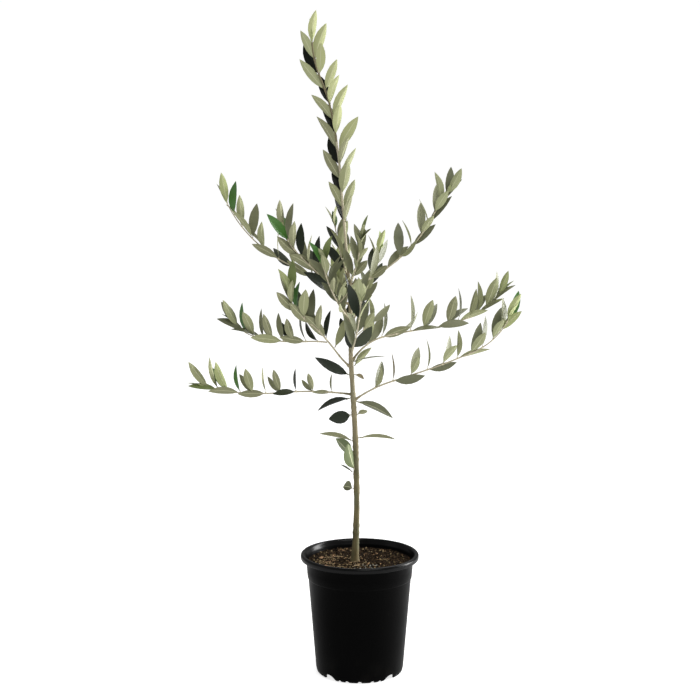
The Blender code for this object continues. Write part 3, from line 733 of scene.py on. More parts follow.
# %% One shoot of the plan
# What most shoots share; a row of the plan only names what it has otherwise.
USUAL = {
    "bare": 0.0,  # length of the bare bough; none when 0
    "radius": 0.0016,
    "leaves": (0.040, 0.056),  # first and last leaf length
    "turn": 0.0,  # roll of the first pair; 0 is upright
    "upright": 1.0,  # how strongly leaves turn to the sky
    "spread": LEAF_SPREAD,
    "pitch": PITCH_RATIO,
    "hold": LEAF_HOLD,
    "steep": STEEP,
    "backlit": 0.0,  # how far the blades turn broad side on
    "skew": 0.0,  # extra roll of every other pair, in degrees
    "parent": None,
    "parent_at": 0.0,
    "twigs": 0,
    "seed": 1,
}


class Shoot:
    """One leafy shoot: where it leaves its parent, its course and its leaves."""

    def __init__(self, name, height, azimuth, length, rises, first, pairs, **more):
        self.name = name
        self.height = height  # on the trunk, or None on a shoot that leaves another one
        self.azimuth = math.radians(azimuth)  # anticlockwise from +X, seen from above
        self.length = length
        self.rises = rises  # degrees over the level at equal shares of the length
        self.first = first  # distance to the first leaf pair
        self.pairs = pairs
        vars(self).update(USUAL, **more)

# %% The leader and the side shoots
LEADER = Shoot("leader", None, 180, 0.356, (86, 85, 86, 83, 78, 67, 86), 0.055, 13,
               radius=0.0022, leaves=(0.060, 0.060), turn=180, pitch=1.010, hold=0.0,
               spread=49, upright=0.9, steep=0.8, backlit=2.0, skew=35, seed=4034)

SHOOTS = (
    Shoot("low_left", 0.480, 163, 0.259, (4, -2, -8, 0, 10), 0.037, 10,
          bare=0.022, leaves=(0.030, 0.059), turn=20, pitch=0.925, hold=0.4, spread=47,
          upright=1.3, seed=3137),
    Shoot("low_right", 0.469, -17, 0.306, (38, 20, 22, 26, 63), 0.044, 11,
          bare=0.026, leaves=(0.050, 0.054), turn=110, hold=0.68, upright=0.9, seed=8704),
    Shoot("middle_left", 0.525, 196, 0.166, (42, 54, 47, 37, 84), 0.067, 7,
          bare=0.060, leaves=(0.050, 0.056), turn=20, pitch=0.945, hold=1, spread=53,
          upright=1.1, seed=7925),
    Shoot("middle_left_side", None, 168, 0.161, (5, -5, 2, 11, 42), 0.018, 9,
          radius=0.0013, leaves=(0.050, 0.052), turn=115, pitch=0.955, hold=0.9,
          parent="middle_left", parent_at=0.060, seed=1451),
    Shoot("middle_right", 0.534, 17, 0.291, (61, 11, 4, 17, 46), 0.041, 13,
          bare=0.034, leaves=(0.059, 0.054), turn=60, pitch=0.945, hold=0.48, spread=44,
          upright=1.3, seed=3497),
    Shoot("upper_left_outer", 0.598, 160, 0.303, (76, 34, 22, 41, 62), 0.106, 8,
          bare=0.086, leaves=(0.056, 0.056), turn=50, hold=0.48, spread=44, upright=1.1,
          seed=9469),
    Shoot("upper_left_inner", 0.634, 206, 0.181, (3, 62, 44, 45, 72), 0.041, 8,
          bare=0.034, leaves=(0.059, 0.059), turn=0, pitch=0.965, hold=0.38, spread=44,
          seed=7626),
    Shoot("upper_right", 0.667, -22, 0.238, (8, 35, 43, 61, 53), 0.038, 9,
          bare=0.030, leaves=(0.054, 0.054), turn=130, pitch=0.905, hold=0.98, spread=62,
          seed=2664),
    Shoot("front_low", 0.548, -82, 0.162, (30, 36, 46, 60), 0.029, 4,
          bare=0.022, leaves=(0.059, 0.059), turn=40, pitch=0.925, hold=0.98, twigs=1,
          seed=194),
    Shoot("back_low", 0.556, 100, 0.162, (28, 36, 46, 60), 0.029, 7,
          bare=0.022, leaves=(0.046, 0.059), turn=30, pitch=0.860, hold=0.8, spread=44,
          upright=1.2, twigs=1, seed=6732),
    Shoot("front_middle", 0.606, -118, 0.140, (34, 42, 52, 64), 0.027, 6,
          bare=0.020, leaves=(0.046, 0.054), turn=30, pitch=0.900, spread=56,
          upright=0.9, twigs=1, seed=3883),
    Shoot("back_middle", 0.600, 62, 0.147, (32, 40, 50, 64), 0.029, 7,
          bare=0.022, leaves=(0.048, 0.052), turn=60, pitch=1.020, spread=44, upright=1.1,
          twigs=1, seed=1420),
    Shoot("front_upper", 0.664, -72, 0.108, (40, 48, 58, 66), 0.024, 6,
          bare=0.016, leaves=(0.050, 0.044), turn=40, hold=0.58, seed=3311),
    Shoot("back_upper", 0.672, 112, 0.103, (40, 48, 58, 66), 0.023, 5,
          bare=0.016, leaves=(0.059, 0.046), turn=30, pitch=0.995, upright=0.9, seed=7223),
    Shoot("middle_left_leaf", None, 40, LEAF_STALK, (62, 62), 0.0, 0,
          radius=STALK_RADIUS, leaves=(0.054, 0.054), turn=50,
          parent="middle_left", parent_at=0.045),
)

# %% Single leaves on the trunk
# Height, direction seen from above, rise, leaf length and roll of each single leaf.
SINGLE_LEAVES = (
    (0.343, 168, 29, 0.024, -14), (0.338, 238, 66, 0.052, 80), (0.368, 160, 43, 0.040, 60),
    (0.400, 188, 13, 0.056, 40), (0.406, 10, -5, 0.063, -34), (0.446, 208, -4, 0.042, -74),
    (0.444, -15, 22, 0.018, -40), (0.476, 166, -24, 0.061, -24), (0.471, -8, -24, 0.066, -50),
    (0.517, -20, -23, 0.017, -60), (0.511, 196, 29, 0.066, -75), (0.524, 14, 45, 0.041, -80),
    (0.536, -10, 11, 0.054, -15), (0.541, 260, 71, 0.051, -180), (0.318, 184, 8, 0.016, 70),
)
SHOOTS += tuple(
    Shoot(f"trunk_leaf_{number}", height, azimuth, LEAF_STALK, (rise, rise), 0.0, 0,
          radius=STALK_RADIUS, leaves=(length, length), turn=roll)
    for number, (height, azimuth, rise, length, roll) in enumerate(SINGLE_LEAVES, 1))
EVERY_SHOOT = (LEADER, *SHOOTS)
print("shoots:", len(EVERY_SHOOT))

# %% [markdown]
# ### Courses and directions
#
# A shoot's centre line is worked out from its rises, and starts where its
# foot clears what it grows from.

# %% Courses of the limbs
def interpolate(values, share):
    """Value at a share from 0 to 1 of an evenly spaced row of values."""
    place = min(max(share, 0.0), 1.0) * (len(values) - 1)
    index = min(int(place), len(values) - 2)
    return values[index] + (values[index + 1] - values[index]) * (place - index)


def heading(azimuth, rise):
    return Vector((
        math.cos(azimuth) * math.cos(rise),
        math.sin(azimuth) * math.cos(rise),
        math.sin(rise),
    ))


def trunk_at(height):
    """Axis point and radius of the trunk at a height."""
    for low, high in zip(TRUNK_STATIONS, TRUNK_STATIONS[1:]):
        if height <= high[0]:
            break
    share = (height - low[0]) / (high[0] - low[0])
    across, back, radius = (a + (b - a) * share for a, b in zip(low[1:], high[1:]))
    return Vector((across, back, height)), radius


def course(start, azimuth, rises, length):
    """Centre line of a shoot, worked out from its rise along its length."""
    count = max(2, round(length / SHOOT_STEP))
    points = [start]
    for index in range(count):
        rise = math.radians(interpolate(rises, (index + 0.5) / count))
        points.append(points[-1] + heading(azimuth, rise) * (length / count))
    return points


def along(points, distance):
    """Point and direction at a distance along a line."""
    for first, second in zip(points, points[1:]):
        piece = (second - first).length
        if distance <= piece:
            break
        distance -= piece
    else:
        distance = piece
    direction = (second - first).normalized()
    return first + direction * distance, direction


def stretch(points, start, end):
    """The part of a line between two distances along it."""
    cut = [along(points, start)[0]]
    travelled = 0.0
    for first, second in zip(points, points[1:]):
        travelled += (second - first).length
        if start + GAP < travelled < end - GAP:
            cut.append(second)
    return cut + [along(points, end)[0]]

# %% Where each shoot starts and how it runs
def shoot_radius(shoot, distance):
    share = min(distance / shoot.length, 1.0)
    return shoot.radius * (1 + (SHOOT_TIP_SHARE - 1) * share)


def clear_start(parent_radius, parent_direction, radius, direction):
    """Distance along a side shoot at which its flat foot clears its parent."""
    cosine = abs(direction.dot(parent_direction))
    sine = math.sqrt(1 - cosine * cosine)
    return (parent_radius + GAP + radius * cosine) / sine


def plan_shoots():
    """Gives each shoot its centre line and the distance at which it starts."""
    by_name = {shoot.name: shoot for shoot in SHOOTS}
    for shoot in SHOOTS:
        if shoot.parent:
            parent = by_name[shoot.parent]
            start, parent_direction = along(parent.points, shoot.parent_at)
            parent_radius = shoot_radius(parent, shoot.parent_at)
        else:
            start, parent_radius = trunk_at(shoot.height)
            above = trunk_at(shoot.height + TRUNK_STEP)[0]
            parent_direction = (above - start).normalized()
        shoot.points = course(start, shoot.azimuth, shoot.rises, shoot.length)
        direction = along(shoot.points, 0.0)[1]
        shoot.start = clear_start(parent_radius, parent_direction, shoot.radius, direction)
        if not shoot.pairs:
            shoot.length += shoot.start
            shoot.points = course(start, shoot.azimuth, shoot.rises, shoot.length)
    LEADER.points = course(trunk_at(TRUNK_TOP)[0], LEADER.azimuth, LEADER.rises,
                           LEADER.length)
    LEADER.start = GAP


plan_shoots()
print("leader's tip at", tuple(LEADER.points[-1]))

# %% [markdown]
# ### Leaf pairs by the seeded rule
#
# Every draw of the dice comes in the same order as for the solids, so each
# shoot has a seed of its own. A leaf that would touch a limb or reach into
# the leaves of another shoot is skipped.

# %% A leaf's place and direction
class Leaf:
    def __init__(self, root, direction, face, length):
        self.root = root
        self.direction = direction  # unit vector from the root towards the tip
        self.face = face  # unit vector that the upper side faces
        self.length = length

    def matrix(self):
        """Turns a leaf that lies along +Y with its upper side up."""
        side = self.direction.cross(self.face)
        turn = Matrix((side, self.direction, self.face)).transposed()
        return Matrix.Translation(self.root) @ turn.to_4x4()

    def samples(self):
        """Points on the blade's middle and edges, for tests of what is near it."""
        side = self.direction.cross(self.face)
        found = []
        for share, width in LEAF_TESTS:
            middle = self.root + self.direction * self.length * share
            reach = side * self.length * LEAF_WIDTH_SHARE * width / 2
            found += [middle, middle + reach, middle - reach]
        return found

    def room(self, pattern, sides):
        """A search tree of the blade and the clearance over and under it."""
        place = self.matrix()
        corners = []
        for x, y, z in pattern:
            bow = LEAF_CURL * math.sin(math.pi * y) * self.length
            corners.append(place @ Vector((x * self.length, y * self.length,
                                           bow + z * LEAF_CLEARANCE)))
        return BVHTree.FromPolygons(corners, sides)


def across(vector, direction):
    """The part of a vector that is square to a direction, as a unit vector."""
    return (vector - direction * vector.dot(direction)).normalized()


def leaf_direction(axis, radial, upright, spread, hold):
    """Where a leaf points: out from its shoot, bent towards the sky."""
    natural = axis * math.cos(spread) + radial * math.sin(spread)
    below = max(0.0, -radial.z)
    raised = (SKY * LEAF_LIFT - axis * LEAF_LEAN) * (1 - below)
    laid = (SKY * hold + axis * LEAF_ALONG) * below
    return (natural + (raised + laid) * upright).normalized()

# %% One pair of leaves
def pair_distances(shoot):
    """Distances of the leaf pairs, which stand closer together towards the tip."""
    if not shoot.pairs:
        return []
    shares = [shoot.pitch ** index for index in range(shoot.pairs - 1)]
    scale = (shoot.length - shoot.first - END_MARGIN) / sum(shares)
    found = [shoot.first]
    for share in shares:
        found.append(found[-1] + share * scale)
    return found


def grow_pair(dice, point, axis, roll, length, shoot, share):
    """The two opposite leaves of one node; now and then one is lost."""
    opened = 1 - TIP_CLOSING * share ** CLOSING_POWER
    upright = shoot.upright * opened
    reference = SKY if abs(axis.z) < shoot.steep else FRONT
    up = across(reference, axis)
    side = axis.cross(up)
    leaves = []
    for opposite in (0.0, math.pi):
        angle = roll + opposite + math.radians(dice.uniform(-PAIR_JITTER, PAIR_JITTER))
        radial = up * math.cos(angle) + side * math.sin(angle)
        opening_jitter = dice.uniform(-LEAF_OPENING_JITTER, LEAF_OPENING_JITTER)
        opening = math.radians(shoot.spread + opening_jitter) * opened
        direction = leaf_direction(axis, radial, upright, opening, shoot.hold)
        light = -shoot.backlit if radial.y < BACK_SIDE else shoot.backlit
        face = across(axis * LEAF_FORWARD - radial + FRONT * light, direction)
        twist = dice.uniform(-LEAF_TWIST, LEAF_TWIST)
        if upright and radial.z < LOW_SIDE:
            twist += LOW_LEAF_TWIST * dice.choice((-1, 1))
        face.rotate(Matrix.Rotation(math.radians(twist), 3, direction))
        size = length * dice.uniform(*LEAF_SIZE_RANGE)
        if dice.random() > LOST_LEAF_SHARE:
            leaves.append(Leaf(point - direction * LEAF_SINK, direction, face, size))
    return leaves

# %% Whole shoots and their twigs
def grow(shoot):
    """Stem lines with their radii, and the leaves, of one shoot."""
    dice = random.Random(shoot.seed)
    begin = max(shoot.bare + GAP, shoot.start)
    stems = [(stretch(shoot.points, begin, shoot.length),
              shoot_radius(shoot, begin), shoot_radius(shoot, shoot.length))]
    leaves = []
    for index, distance in enumerate(pair_distances(shoot)):
        share = distance / shoot.length
        point, axis = along(shoot.points, distance)
        roll = math.radians(shoot.turn + 90 * index + shoot.skew * ((index + 1) % 2))
        length = interpolate(shoot.leaves, share)
        leaves += grow_pair(dice, point, axis, roll, length, shoot, share)
        if 0 < index <= shoot.twigs:
            stem, more = grow_twig(dice, point, axis, roll, length, shoot)
            stems.append(stem)
            leaves += more
    tip, axis = along(shoot.points, shoot.length)
    face = across(SKY, axis)
    if shoot.pairs:
        share = END_LEAF_SHARE
    else:
        share = 1.0
        face.rotate(Matrix.Rotation(math.radians(shoot.turn), 3, axis))
    leaves.append(Leaf(tip - axis * END_MARGIN, axis, face, shoot.leaves[1] * share))
    return stems, leaves


def grow_twig(dice, point, axis, roll, leaf_length, shoot):
    """A short side twig with its own leaf pairs, from the same node as a leaf pair."""
    up = across(SKY, axis)
    side = axis.cross(up) * dice.choice((-1, 1))
    spread = math.radians(TWIG_SPREAD)
    direction = (axis * math.cos(spread) + side * math.sin(spread)
                 + up * TWIG_LIFT).normalized()
    stem = ([point, point + direction * TWIG_LENGTH], TWIG_RADIUS, TWIG_RADIUS * TWIG_TIP_SHARE)
    leaves = []
    for index in range(TWIG_PAIRS):
        at = point + direction * (TWIG_LENGTH - END_MARGIN) * (index + 1) / TWIG_PAIRS
        leaves += grow_pair(dice, at, direction, roll + math.radians(90 * index),
                            leaf_length * TWIG_LEAF_SHARE, shoot, 0.0)
    return stem, leaves

# %% Skip the leaves that lack room
def distance_to_line(point, line):
    """Distance from a point to a line of straight pieces."""
    nearest = math.inf
    for first, second in zip(line, line[1:]):
        piece = second - first
        share = min(max((point - first).dot(piece) / piece.length_squared, 0.0), 1.0)
        nearest = min(nearest, (first + piece * share - point).length)
    return nearest


def keeps_clear(leaf, own, limbs, stem_lines):
    """Whether a leaf misses every limb and the stems of every other shoot."""
    others = [stem for name, stems in stem_lines.items() if name != own for stem in stems]
    return not any(distance_to_line(sample, line) < radius + LEAF_CLEARANCE
                   for sample in leaf.samples() for line, radius in limbs + others)


def keep_own_space(grown, limbs, pattern, sides):
    """Skips each leaf that would touch a limb or reach into another shoot's leaves."""
    stem_lines = {name: [(line, radius) for line, radius, _ in stems]
                  for name, (stems, _) in grown.items()}
    taken = []
    kept = {}
    for name, (_, leaves) in grown.items():
        kept[name] = []
        trees = []
        for leaf in leaves:
            tree = leaf.room(pattern, sides)
            if (keeps_clear(leaf, name, limbs, stem_lines)
                    and not any(tree.overlap(other) for other in taken)):
                kept[name].append(leaf)
                trees.append(tree)
        taken += trees
    return kept

# %% Grow every shoot as the solids were grown
def leaf_solid():
    """The unit blade of the solids, with which room between leaves is tested."""
    start_piece()
    bpy.ops.mesh.primitive_uv_sphere_add(segments=4, ring_count=3, radius=1.0)
    corners, sides = pattern_of(bpy.context.object)
    ring = math.sin(math.pi / 3)  # radius of the sphere's two rings
    for corner in corners:
        x, y, z = corner
        if math.isclose(abs(z), 1.0, abs_tol=MM):
            corner[:] = 0.0, 0.0 if z < 0 else 1.0, 0.0
        else:
            place, width = LEAF_RINGS[0] if z < 0 else LEAF_RINGS[1]
            corner[:] = x / ring * width * LEAF_WIDTH_SHARE / 2, place, y / ring
    return corners, sides


limbs = [([trunk_at(low[0])[0], trunk_at(high[0])[0]], low[3])
         for low, high in zip(TRUNK_STATIONS, TRUNK_STATIONS[1:])]
limbs += [(stretch(shoot.points, shoot.start, shoot.bare), shoot.radius)
          for shoot in SHOOTS if shoot.bare]
grown = {shoot.name: grow(shoot) for shoot in EVERY_SHOOT}
kept = keep_own_space(grown, limbs, *leaf_solid())
print("leaves kept:", sum(len(leaves) for leaves in kept.values()),
      "of", sum(len(leaves) for _, leaves in grown.values()))

# %% [markdown]
# ## Bark
#
# The trunk and the bare foot of each bough are one skin. A curve with a
# radius at each point gives the taper, and swells a little at each node,
# where a leaf pair once stood. The curve becomes a mesh, and its corners are
# then moved in and out by noise that is drawn out along the limb, which
# makes the shallow cracks and the small warts of young olive bark.

# %% Lines that bend smoothly through the knots of a course
def smooth_line(points, step):
    """Points every step or so on a Catmull-Rom curve through a course's knots."""
    found = []
    for index in range(len(points) - 1):
        before = points[max(index - 1, 0)]
        first, second = points[index], points[index + 1]
        after = points[min(index + 2, len(points) - 1)]
        count = max(1, round((second - first).length / step))
        for part in range(count):
            t = part / count
            found.append(0.5 * (2 * first + (second - before) * t
                                + (2 * before - 5 * first + 4 * second - after) * t ** 2
                                + (3 * first - before - 3 * second + after) * t ** 3))
    return found + [points[-1]]


def distances(line):
    """How far along the line each of its points lies."""
    found = [0.0]
    for first, second in zip(line, line[1:]):
        found.append(found[-1] + (second - first).length)
    return found


def swelling(distance, nodes, reach, share):
    """How much thicker a stem is near its nodes, as a factor."""
    near = min((abs(distance - node) for node in nodes), default=1.0)
    return 1 + share * math.exp(-(near / reach) ** 2)


def skin(name, stems, resolution):
    """One mesh of closed round stems, each a line with a radius at every point."""
    curve = bpy.data.curves.new(name, "CURVE")
    curve.dimensions = "3D"
    curve.bevel_depth = 1.0
    curve.bevel_resolution = resolution
    curve.use_fill_caps = True
    for line, radii in stems:
        spline = curve.splines.new("POLY")
        spline.points.add(len(line) - 1)
        for knot, point, radius in zip(spline.points, line, radii):
            knot.co = (*point, 1)
            knot.radius = radius
    piece = bpy.data.objects.new(name, curve)
    bpy.context.scene.collection.objects.link(piece)
    start_piece(piece)
    bpy.ops.object.convert(target="MESH")
    close_and_face_out(piece)
    return piece

# %% The trunk's line and the feet of the boughs
BARK_STEP = 0.0016
BARK_RESOLUTION = 10  # bevel resolution of the limbs
BARK_BURIED = 0.003  # how far the bark reaches into the soil
NODE_REACH, NODE_SWELL = 0.0022, 0.20
SCAR_REACH, SCAR_SWELL = 0.0034, 0.14
SCAR_COUNT = 14
FIRST_SCAR = 0.232
SCAR_PITCH = 0.034
SCAR_WANDER, WANDER_WAVE = 0.012, 90  # scars stray from even places by a sine of height
FOOT_REACH, FOOT_SWELL = 0.0025, 0.5  # a bough is stouter where it leaves the trunk


def trunk_stem():
    """The trunk from the soil up, flared at its foot, swollen at old leaf scars."""
    knots = [trunk_at(station[0])[0] for station in TRUNK_STATIONS]
    line = smooth_line(knots, BARK_STEP)
    line.insert(0, Vector((*line[0].xy, TRUNK_FOOT - BARK_BURIED)))
    scars = [FIRST_SCAR + SCAR_PITCH * index for index in range(SCAR_COUNT)]
    scars = [height + SCAR_WANDER * math.sin(height * WANDER_WAVE) for height in scars]
    scars += [shoot.height for shoot in SHOOTS if shoot.height]
    radii = [trunk_at(min(max(point.z, TRUNK_FOOT), TRUNK_TOP))[1]
             * swelling(point.z, scars, SCAR_REACH, SCAR_SWELL) for point in line]
    return line, radii


def bough_stem(shoot):
    line = smooth_line(stretch(shoot.points, 0.0, shoot.bare), BARK_STEP)
    nodes = [shoot.start, shoot.bare * 0.5, shoot.bare]
    radii = []
    for far in distances(line):
        flare = math.exp(-max(far - shoot.start, 0) / FOOT_REACH)
        radii.append(shoot_radius(shoot, far) * swelling(far, nodes, NODE_REACH, NODE_SWELL)
                     * (1 + FOOT_SWELL * flare))
    return line, radii


bark = skin("bark_skin", [trunk_stem()] + [bough_stem(shoot) for shoot in SHOOTS if shoot.bare],
            BARK_RESOLUTION)
print("bark corners:", len(bark.data.vertices))

# %% Relief of the bark
CRACK_DEPTH = 0.00030
CRACKS_ACROSS, CRACKS_ALONG = 700, 90  # waves of noise per metre
WART_DEPTH = 0.00066
WARTS_ACROSS, WARTS_ALONG = 900, 620
WART_FLOOR = 0.25  # noise below this makes no wart
YOUNG_FROM, YOUNG_OVER = 0.45, 0.25  # where the relief starts to fade, and over what height
MOST_FADED = 0.7


def bark_relief(x, y, z):
    cracks = noise.noise(Vector((x * CRACKS_ACROSS, y * CRACKS_ACROSS, z * CRACKS_ALONG)))
    warts = noise.noise(Vector((x * WARTS_ACROSS, y * WARTS_ACROSS, z * WARTS_ALONG))
                        + Vector((3, 7, 1)))
    faded = min(max((z - YOUNG_FROM) / YOUNG_OVER, 0), MOST_FADED)
    return (cracks * CRACK_DEPTH + max(warts - WART_FLOOR, 0) * WART_DEPTH) * (1 - faded)


bark.data.update()
normals = [corner.normal.copy() for corner in bark.data.vertices]
moves = [bark_relief(*corner.co) for corner in bark.data.vertices]
for corner, normal, move in zip(bark.data.vertices, normals, moves):
    corner.co += normal * move
print("bark moved by", min(moves), "to", max(moves))

# %% Finish of the bark
BARK_LOW, BARK_HIGH = 0.30, 0.62  # heights between which the old bark turns to young
FOOT_TOP = 0.045  # height over the soil to which the foot is browner
TRUNK_ASIDE = (0.0135, 0, 0)  # moves the trunk's middle back to the axis
BOUGH_CLEAR = 0.010  # a bough is paler from this far from the trunk's middle

old_bark = Finish("young_olive_bark", srgb(96, 90, 64), 0.78, Specular_IOR_Level=0.25)
weather = old_bark.noise(42.0, detail=4.0, stretch=(1, 1, 0.42))
moss = old_bark.noise(26.0, detail=3.0, stretch=(2.6, 2.6, 0.6))
cracking = old_bark.noise(420.0, detail=4.0, stretch=(1, 1, 0.16))
flecks = old_bark.noise(900.0, detail=2.0, stretch=(1, 1, 0.8))
up = old_bark.node("SeparateXYZ", {}, {0: old_bark.place()}, out=2)
worn = old_bark.mix(old_bark.steps(weather, 0.38, 0.62), srgb(62, 61, 38), srgb(96, 88, 58))
worn = old_bark.mix(old_bark.steps(moss, 0.52, 0.66) * 0.7, worn, srgb(84, 90, 68))
foot = 1 - old_bark.steps(up, SOIL_HEIGHT, SOIL_HEIGHT + FOOT_TOP)
worn = old_bark.mix(foot * 0.6, worn, srgb(90, 76, 46))
fresh = old_bark.mix(old_bark.steps(weather, 0.38, 0.62), srgb(112, 104, 80),
                     srgb(150, 141, 116))
tone = old_bark.mix(old_bark.steps(up, BARK_LOW, BARK_HIGH), worn, fresh)
centred = old_bark.node("VectorMath", {"operation": "ADD"},
                        {0: old_bark.place((1, 1, 0)), 1: TRUNK_ASIDE})
aside = old_bark.node("VectorMath", {"operation": "LENGTH"}, {0: centred}, out=1)
tone = old_bark.mix(old_bark.steps(aside, BOUGH_CLEAR, 2 * BOUGH_CLEAR), tone,
                    srgb(156, 149, 124))
lined = old_bark.mix(old_bark.steps(cracking, 0.55, 0.72) * 0.55, tone, srgb(58, 48, 32))
old_bark.set("Base Color", old_bark.mix(old_bark.steps(flecks, 0.66, 0.74) * 0.5, lined,
                                        srgb(166, 154, 120)))
old_bark.set("Roughness", cracking * 0.2 + 0.66)
old_bark.bump(cracking * 0.7 + flecks * 0.3, 0.6, 0.0004)
finish_piece(bark, ["trunk"] + BOUGHS, [old_bark])

# %% [markdown]
# ## Shoots, leaf stalks and buds
#
# Beyond its bare foot a bough becomes a thin, smooth shoot. It is a little
# thicker at each node, carries a short stalk for each leaf and a bud in each
# leaf's axil, and ends in a pointed bud. What lies near a node is paler than
# the stem between. The leader is olive-brown in its upper part, and stalks
# on the trunk are duller. Each of these is a plain colour of its own.

# %% Lines of the shoots, with stalks and buds
TWIG_STEP = 0.0022
TWIG_RESOLUTION = 2  # bevel resolution of the thin stems
TWIG_NODE_REACH, TWIG_NODE_SWELL = 0.0015, 0.30
STALK_SHARE = 0.085  # length of a leaf's stalk against the whole leaf
STALK_OVERLAP = 1.25  # how far the stalk runs on under the blade
STALK_TOP = 0.00058
STALK_TAPER = (1.35, 1.0, 0.8)
STALK_BOW = 0.03  # how far its middle bows out, as a share of its length
TRUNK_STALK = 1.55  # how much stouter the stalks on the trunk are
# Places along a bud and shares of its radius.
BUD_OUTLINE = ((0, 0.55), (0.25, 1.0), (0.5, 0.95), (0.8, 0.55), (1.0, 0.12))
BUD_LENGTH, BUD_RADIUS = 0.0026, 0.00055
BUD_OUT, BUD_UP = 0.0014, 0.0004  # from the leaf's root, along and over the leaf
BUD_TILT = 0.9  # how far it leans from the leaf towards the shoot
TIP_BUD_LENGTH, TIP_BUD_RADIUS = 0.0040, 0.0008


def twig_stem(shoot, line, first, last):
    """A thin stem that tapers from one radius to another and swells at its nodes."""
    smooth = smooth_line(line, TWIG_STEP)
    far = distances(smooth)
    begin = max(shoot.bare, shoot.start)
    nodes = [distance - begin for distance in pair_distances(shoot)]
    radii = [(first + (last - first) * way / far[-1])
             * swelling(way, nodes, TWIG_NODE_REACH, TWIG_NODE_SWELL) for way in far]
    return smooth, radii


def bud(point, direction, length, radius):
    """A short spindle, as a stem of five points."""
    line = [point + direction * length * share for share, _ in BUD_OUTLINE]
    return line, [radius * share for _, share in BUD_OUTLINE]


def axil_bud(leaf):
    """The bud over a leaf's foot, which leans away from the leaf."""
    return bud(leaf.root + leaf.direction * BUD_OUT + leaf.face * BUD_UP,
               (leaf.direction + leaf.face * BUD_TILT).normalized(), BUD_LENGTH, BUD_RADIUS)


def stalk(leaf, stout):
    """The stalk from the middle of the shoot to the foot of the blade."""
    reach = leaf.length * STALK_SHARE * STALK_OVERLAP
    bow = leaf.face * reach * STALK_BOW
    line = [leaf.root, leaf.root + leaf.direction * reach * 0.5 + bow,
            leaf.root + leaf.direction * reach + bow * 0.4]
    return line, [STALK_TOP * stout * share for share in STALK_TAPER]

# %% Every stem, stalk and bud as one piece
stems = []
node_places = []
for shoot in EVERY_SHOOT:
    for line, first, last in grown[shoot.name][0]:
        stems.append(twig_stem(shoot, line, first, last))
    if shoot is not LEADER:
        node_places += [along(shoot.points, distance)[0] for distance in pair_distances(shoot)]
    for leaf in kept[shoot.name]:
        stems += [stalk(leaf, 1.0 if shoot.pairs else TRUNK_STALK), axil_bud(leaf)]
    if shoot.pairs:
        tip, axis = along(shoot.points, shoot.length)
        stems.append(bud(tip - axis * MM, axis, TIP_BUD_LENGTH, TIP_BUD_RADIUS))
twigs = skin("shoot_stems", stems, TWIG_RESOLUTION)
print("stems, stalks and buds:", len(stems))

# %% Plain colours of the shoots, dealt out by place
# Colour of each kind of stem; a stem is ripe unless it is one of the others.
STEM_COLOURS = (("shoot_ripe", (160, 152, 128)), ("shoot_young", (96, 88, 58)),
                ("shoot_node", (188, 180, 152)), ("trunk_stalk", (104, 104, 72)))
YOUNG_STEM, PALE_NODE, DULL_STALK = 1, 2, 3
STEM_ROUGHNESS = 0.62
NODE_PALE_REACH = 0.0019
LEADER_ASIDE = 0.015  # the leader's foot stands this far left of the axis
LEADER_REACH = 0.045  # its stem and stalks lie within this of its foot
LEADER_LEAN = 0.20  # and within this share of the height more, as it leans away
RIPE_HEIGHT = 0.19  # height over the trunk up to which the leader's stem is ripe
STALK_REACH = 0.020  # stalks this near to the trunk take a duller colour
STALK_BELOW = 0.13  # if they stand lower than this under the trunk's top


def stem_finish(name, colour):
    """A plain colour with a faint waxy unevenness in its gloss."""
    finish = Finish(name, srgb(*colour), STEM_ROUGHNESS)
    wax = finish.noise(900.0, detail=2.0, stretch=(1, 1, 0.4))
    finish.set("Roughness", wax * 0.2 + (STEM_ROUGHNESS - 0.1))
    finish.bump(wax, 0.25, 0.0002)
    return finish


node_tree = kdtree.KDTree(len(node_places))
for index, place in enumerate(node_places):
    node_tree.insert(place, index)
node_tree.balance()
for face in twigs.data.polygons:
    side = math.hypot(face.center.x + LEADER_ASIDE, face.center.y)
    rise = face.center.z - TRUNK_TOP
    if node_tree.find(face.center)[2] < NODE_PALE_REACH:
        face.material_index = PALE_NODE
    elif side < STALK_REACH and rise < -STALK_BELOW:
        face.material_index = DULL_STALK
    elif rise > RIPE_HEIGHT and side < LEADER_REACH + rise * LEADER_LEAN:
        face.material_index = YOUNG_STEM
finish_piece(twigs, MASSES, [stem_finish(*row) for row in STEM_COLOURS])

# %% [markdown]
# ## The leaf
#
# An olive leaf is a stiff, narrow lance. Its upper side is dark and smooth
# with a groove along the middle. Its underside is pale with fine scales, and
# has a raised, paler midrib; its margins roll under a little. One blade is
# modelled here from a seven-sided tube that is cut across, flattened and
# drawn to a point at both ends. It has about four dozen faces, since
# hundreds of copies follow.

# %% One blade from a seven-sided tube
# Place along the blade and half its width there, both as shares.
LEAF_OUTLINE = ((0.0, 0.05), (0.06, 0.27), (0.18, 0.68), (0.34, 0.95), (0.52, 1.0),
                (0.70, 0.85), (0.84, 0.54), (0.94, 0.23), (1.0, 0.0))
# Across the blade: share of the half width, and height as shares of the fold and of
# the thickness. The first three corners are the upper side, the last four the underside.
LEAF_SECTION = ((-1.0, 1.0, 0.0), (0.0, 0.0, 0.0), (1.0, 1.0, 0.0), (0.58, 0.48, -0.8),
                (0.055, 0.02, -1.5), (-0.055, 0.02, -1.5), (-0.58, 0.48, -0.8))
LEAF_SIDES = len(LEAF_SECTION)
UPPER_CORNERS, RIB_CORNERS = {0, 1, 2}, {4, 5}
UPPER, UNDER, MIDRIB = range(3)


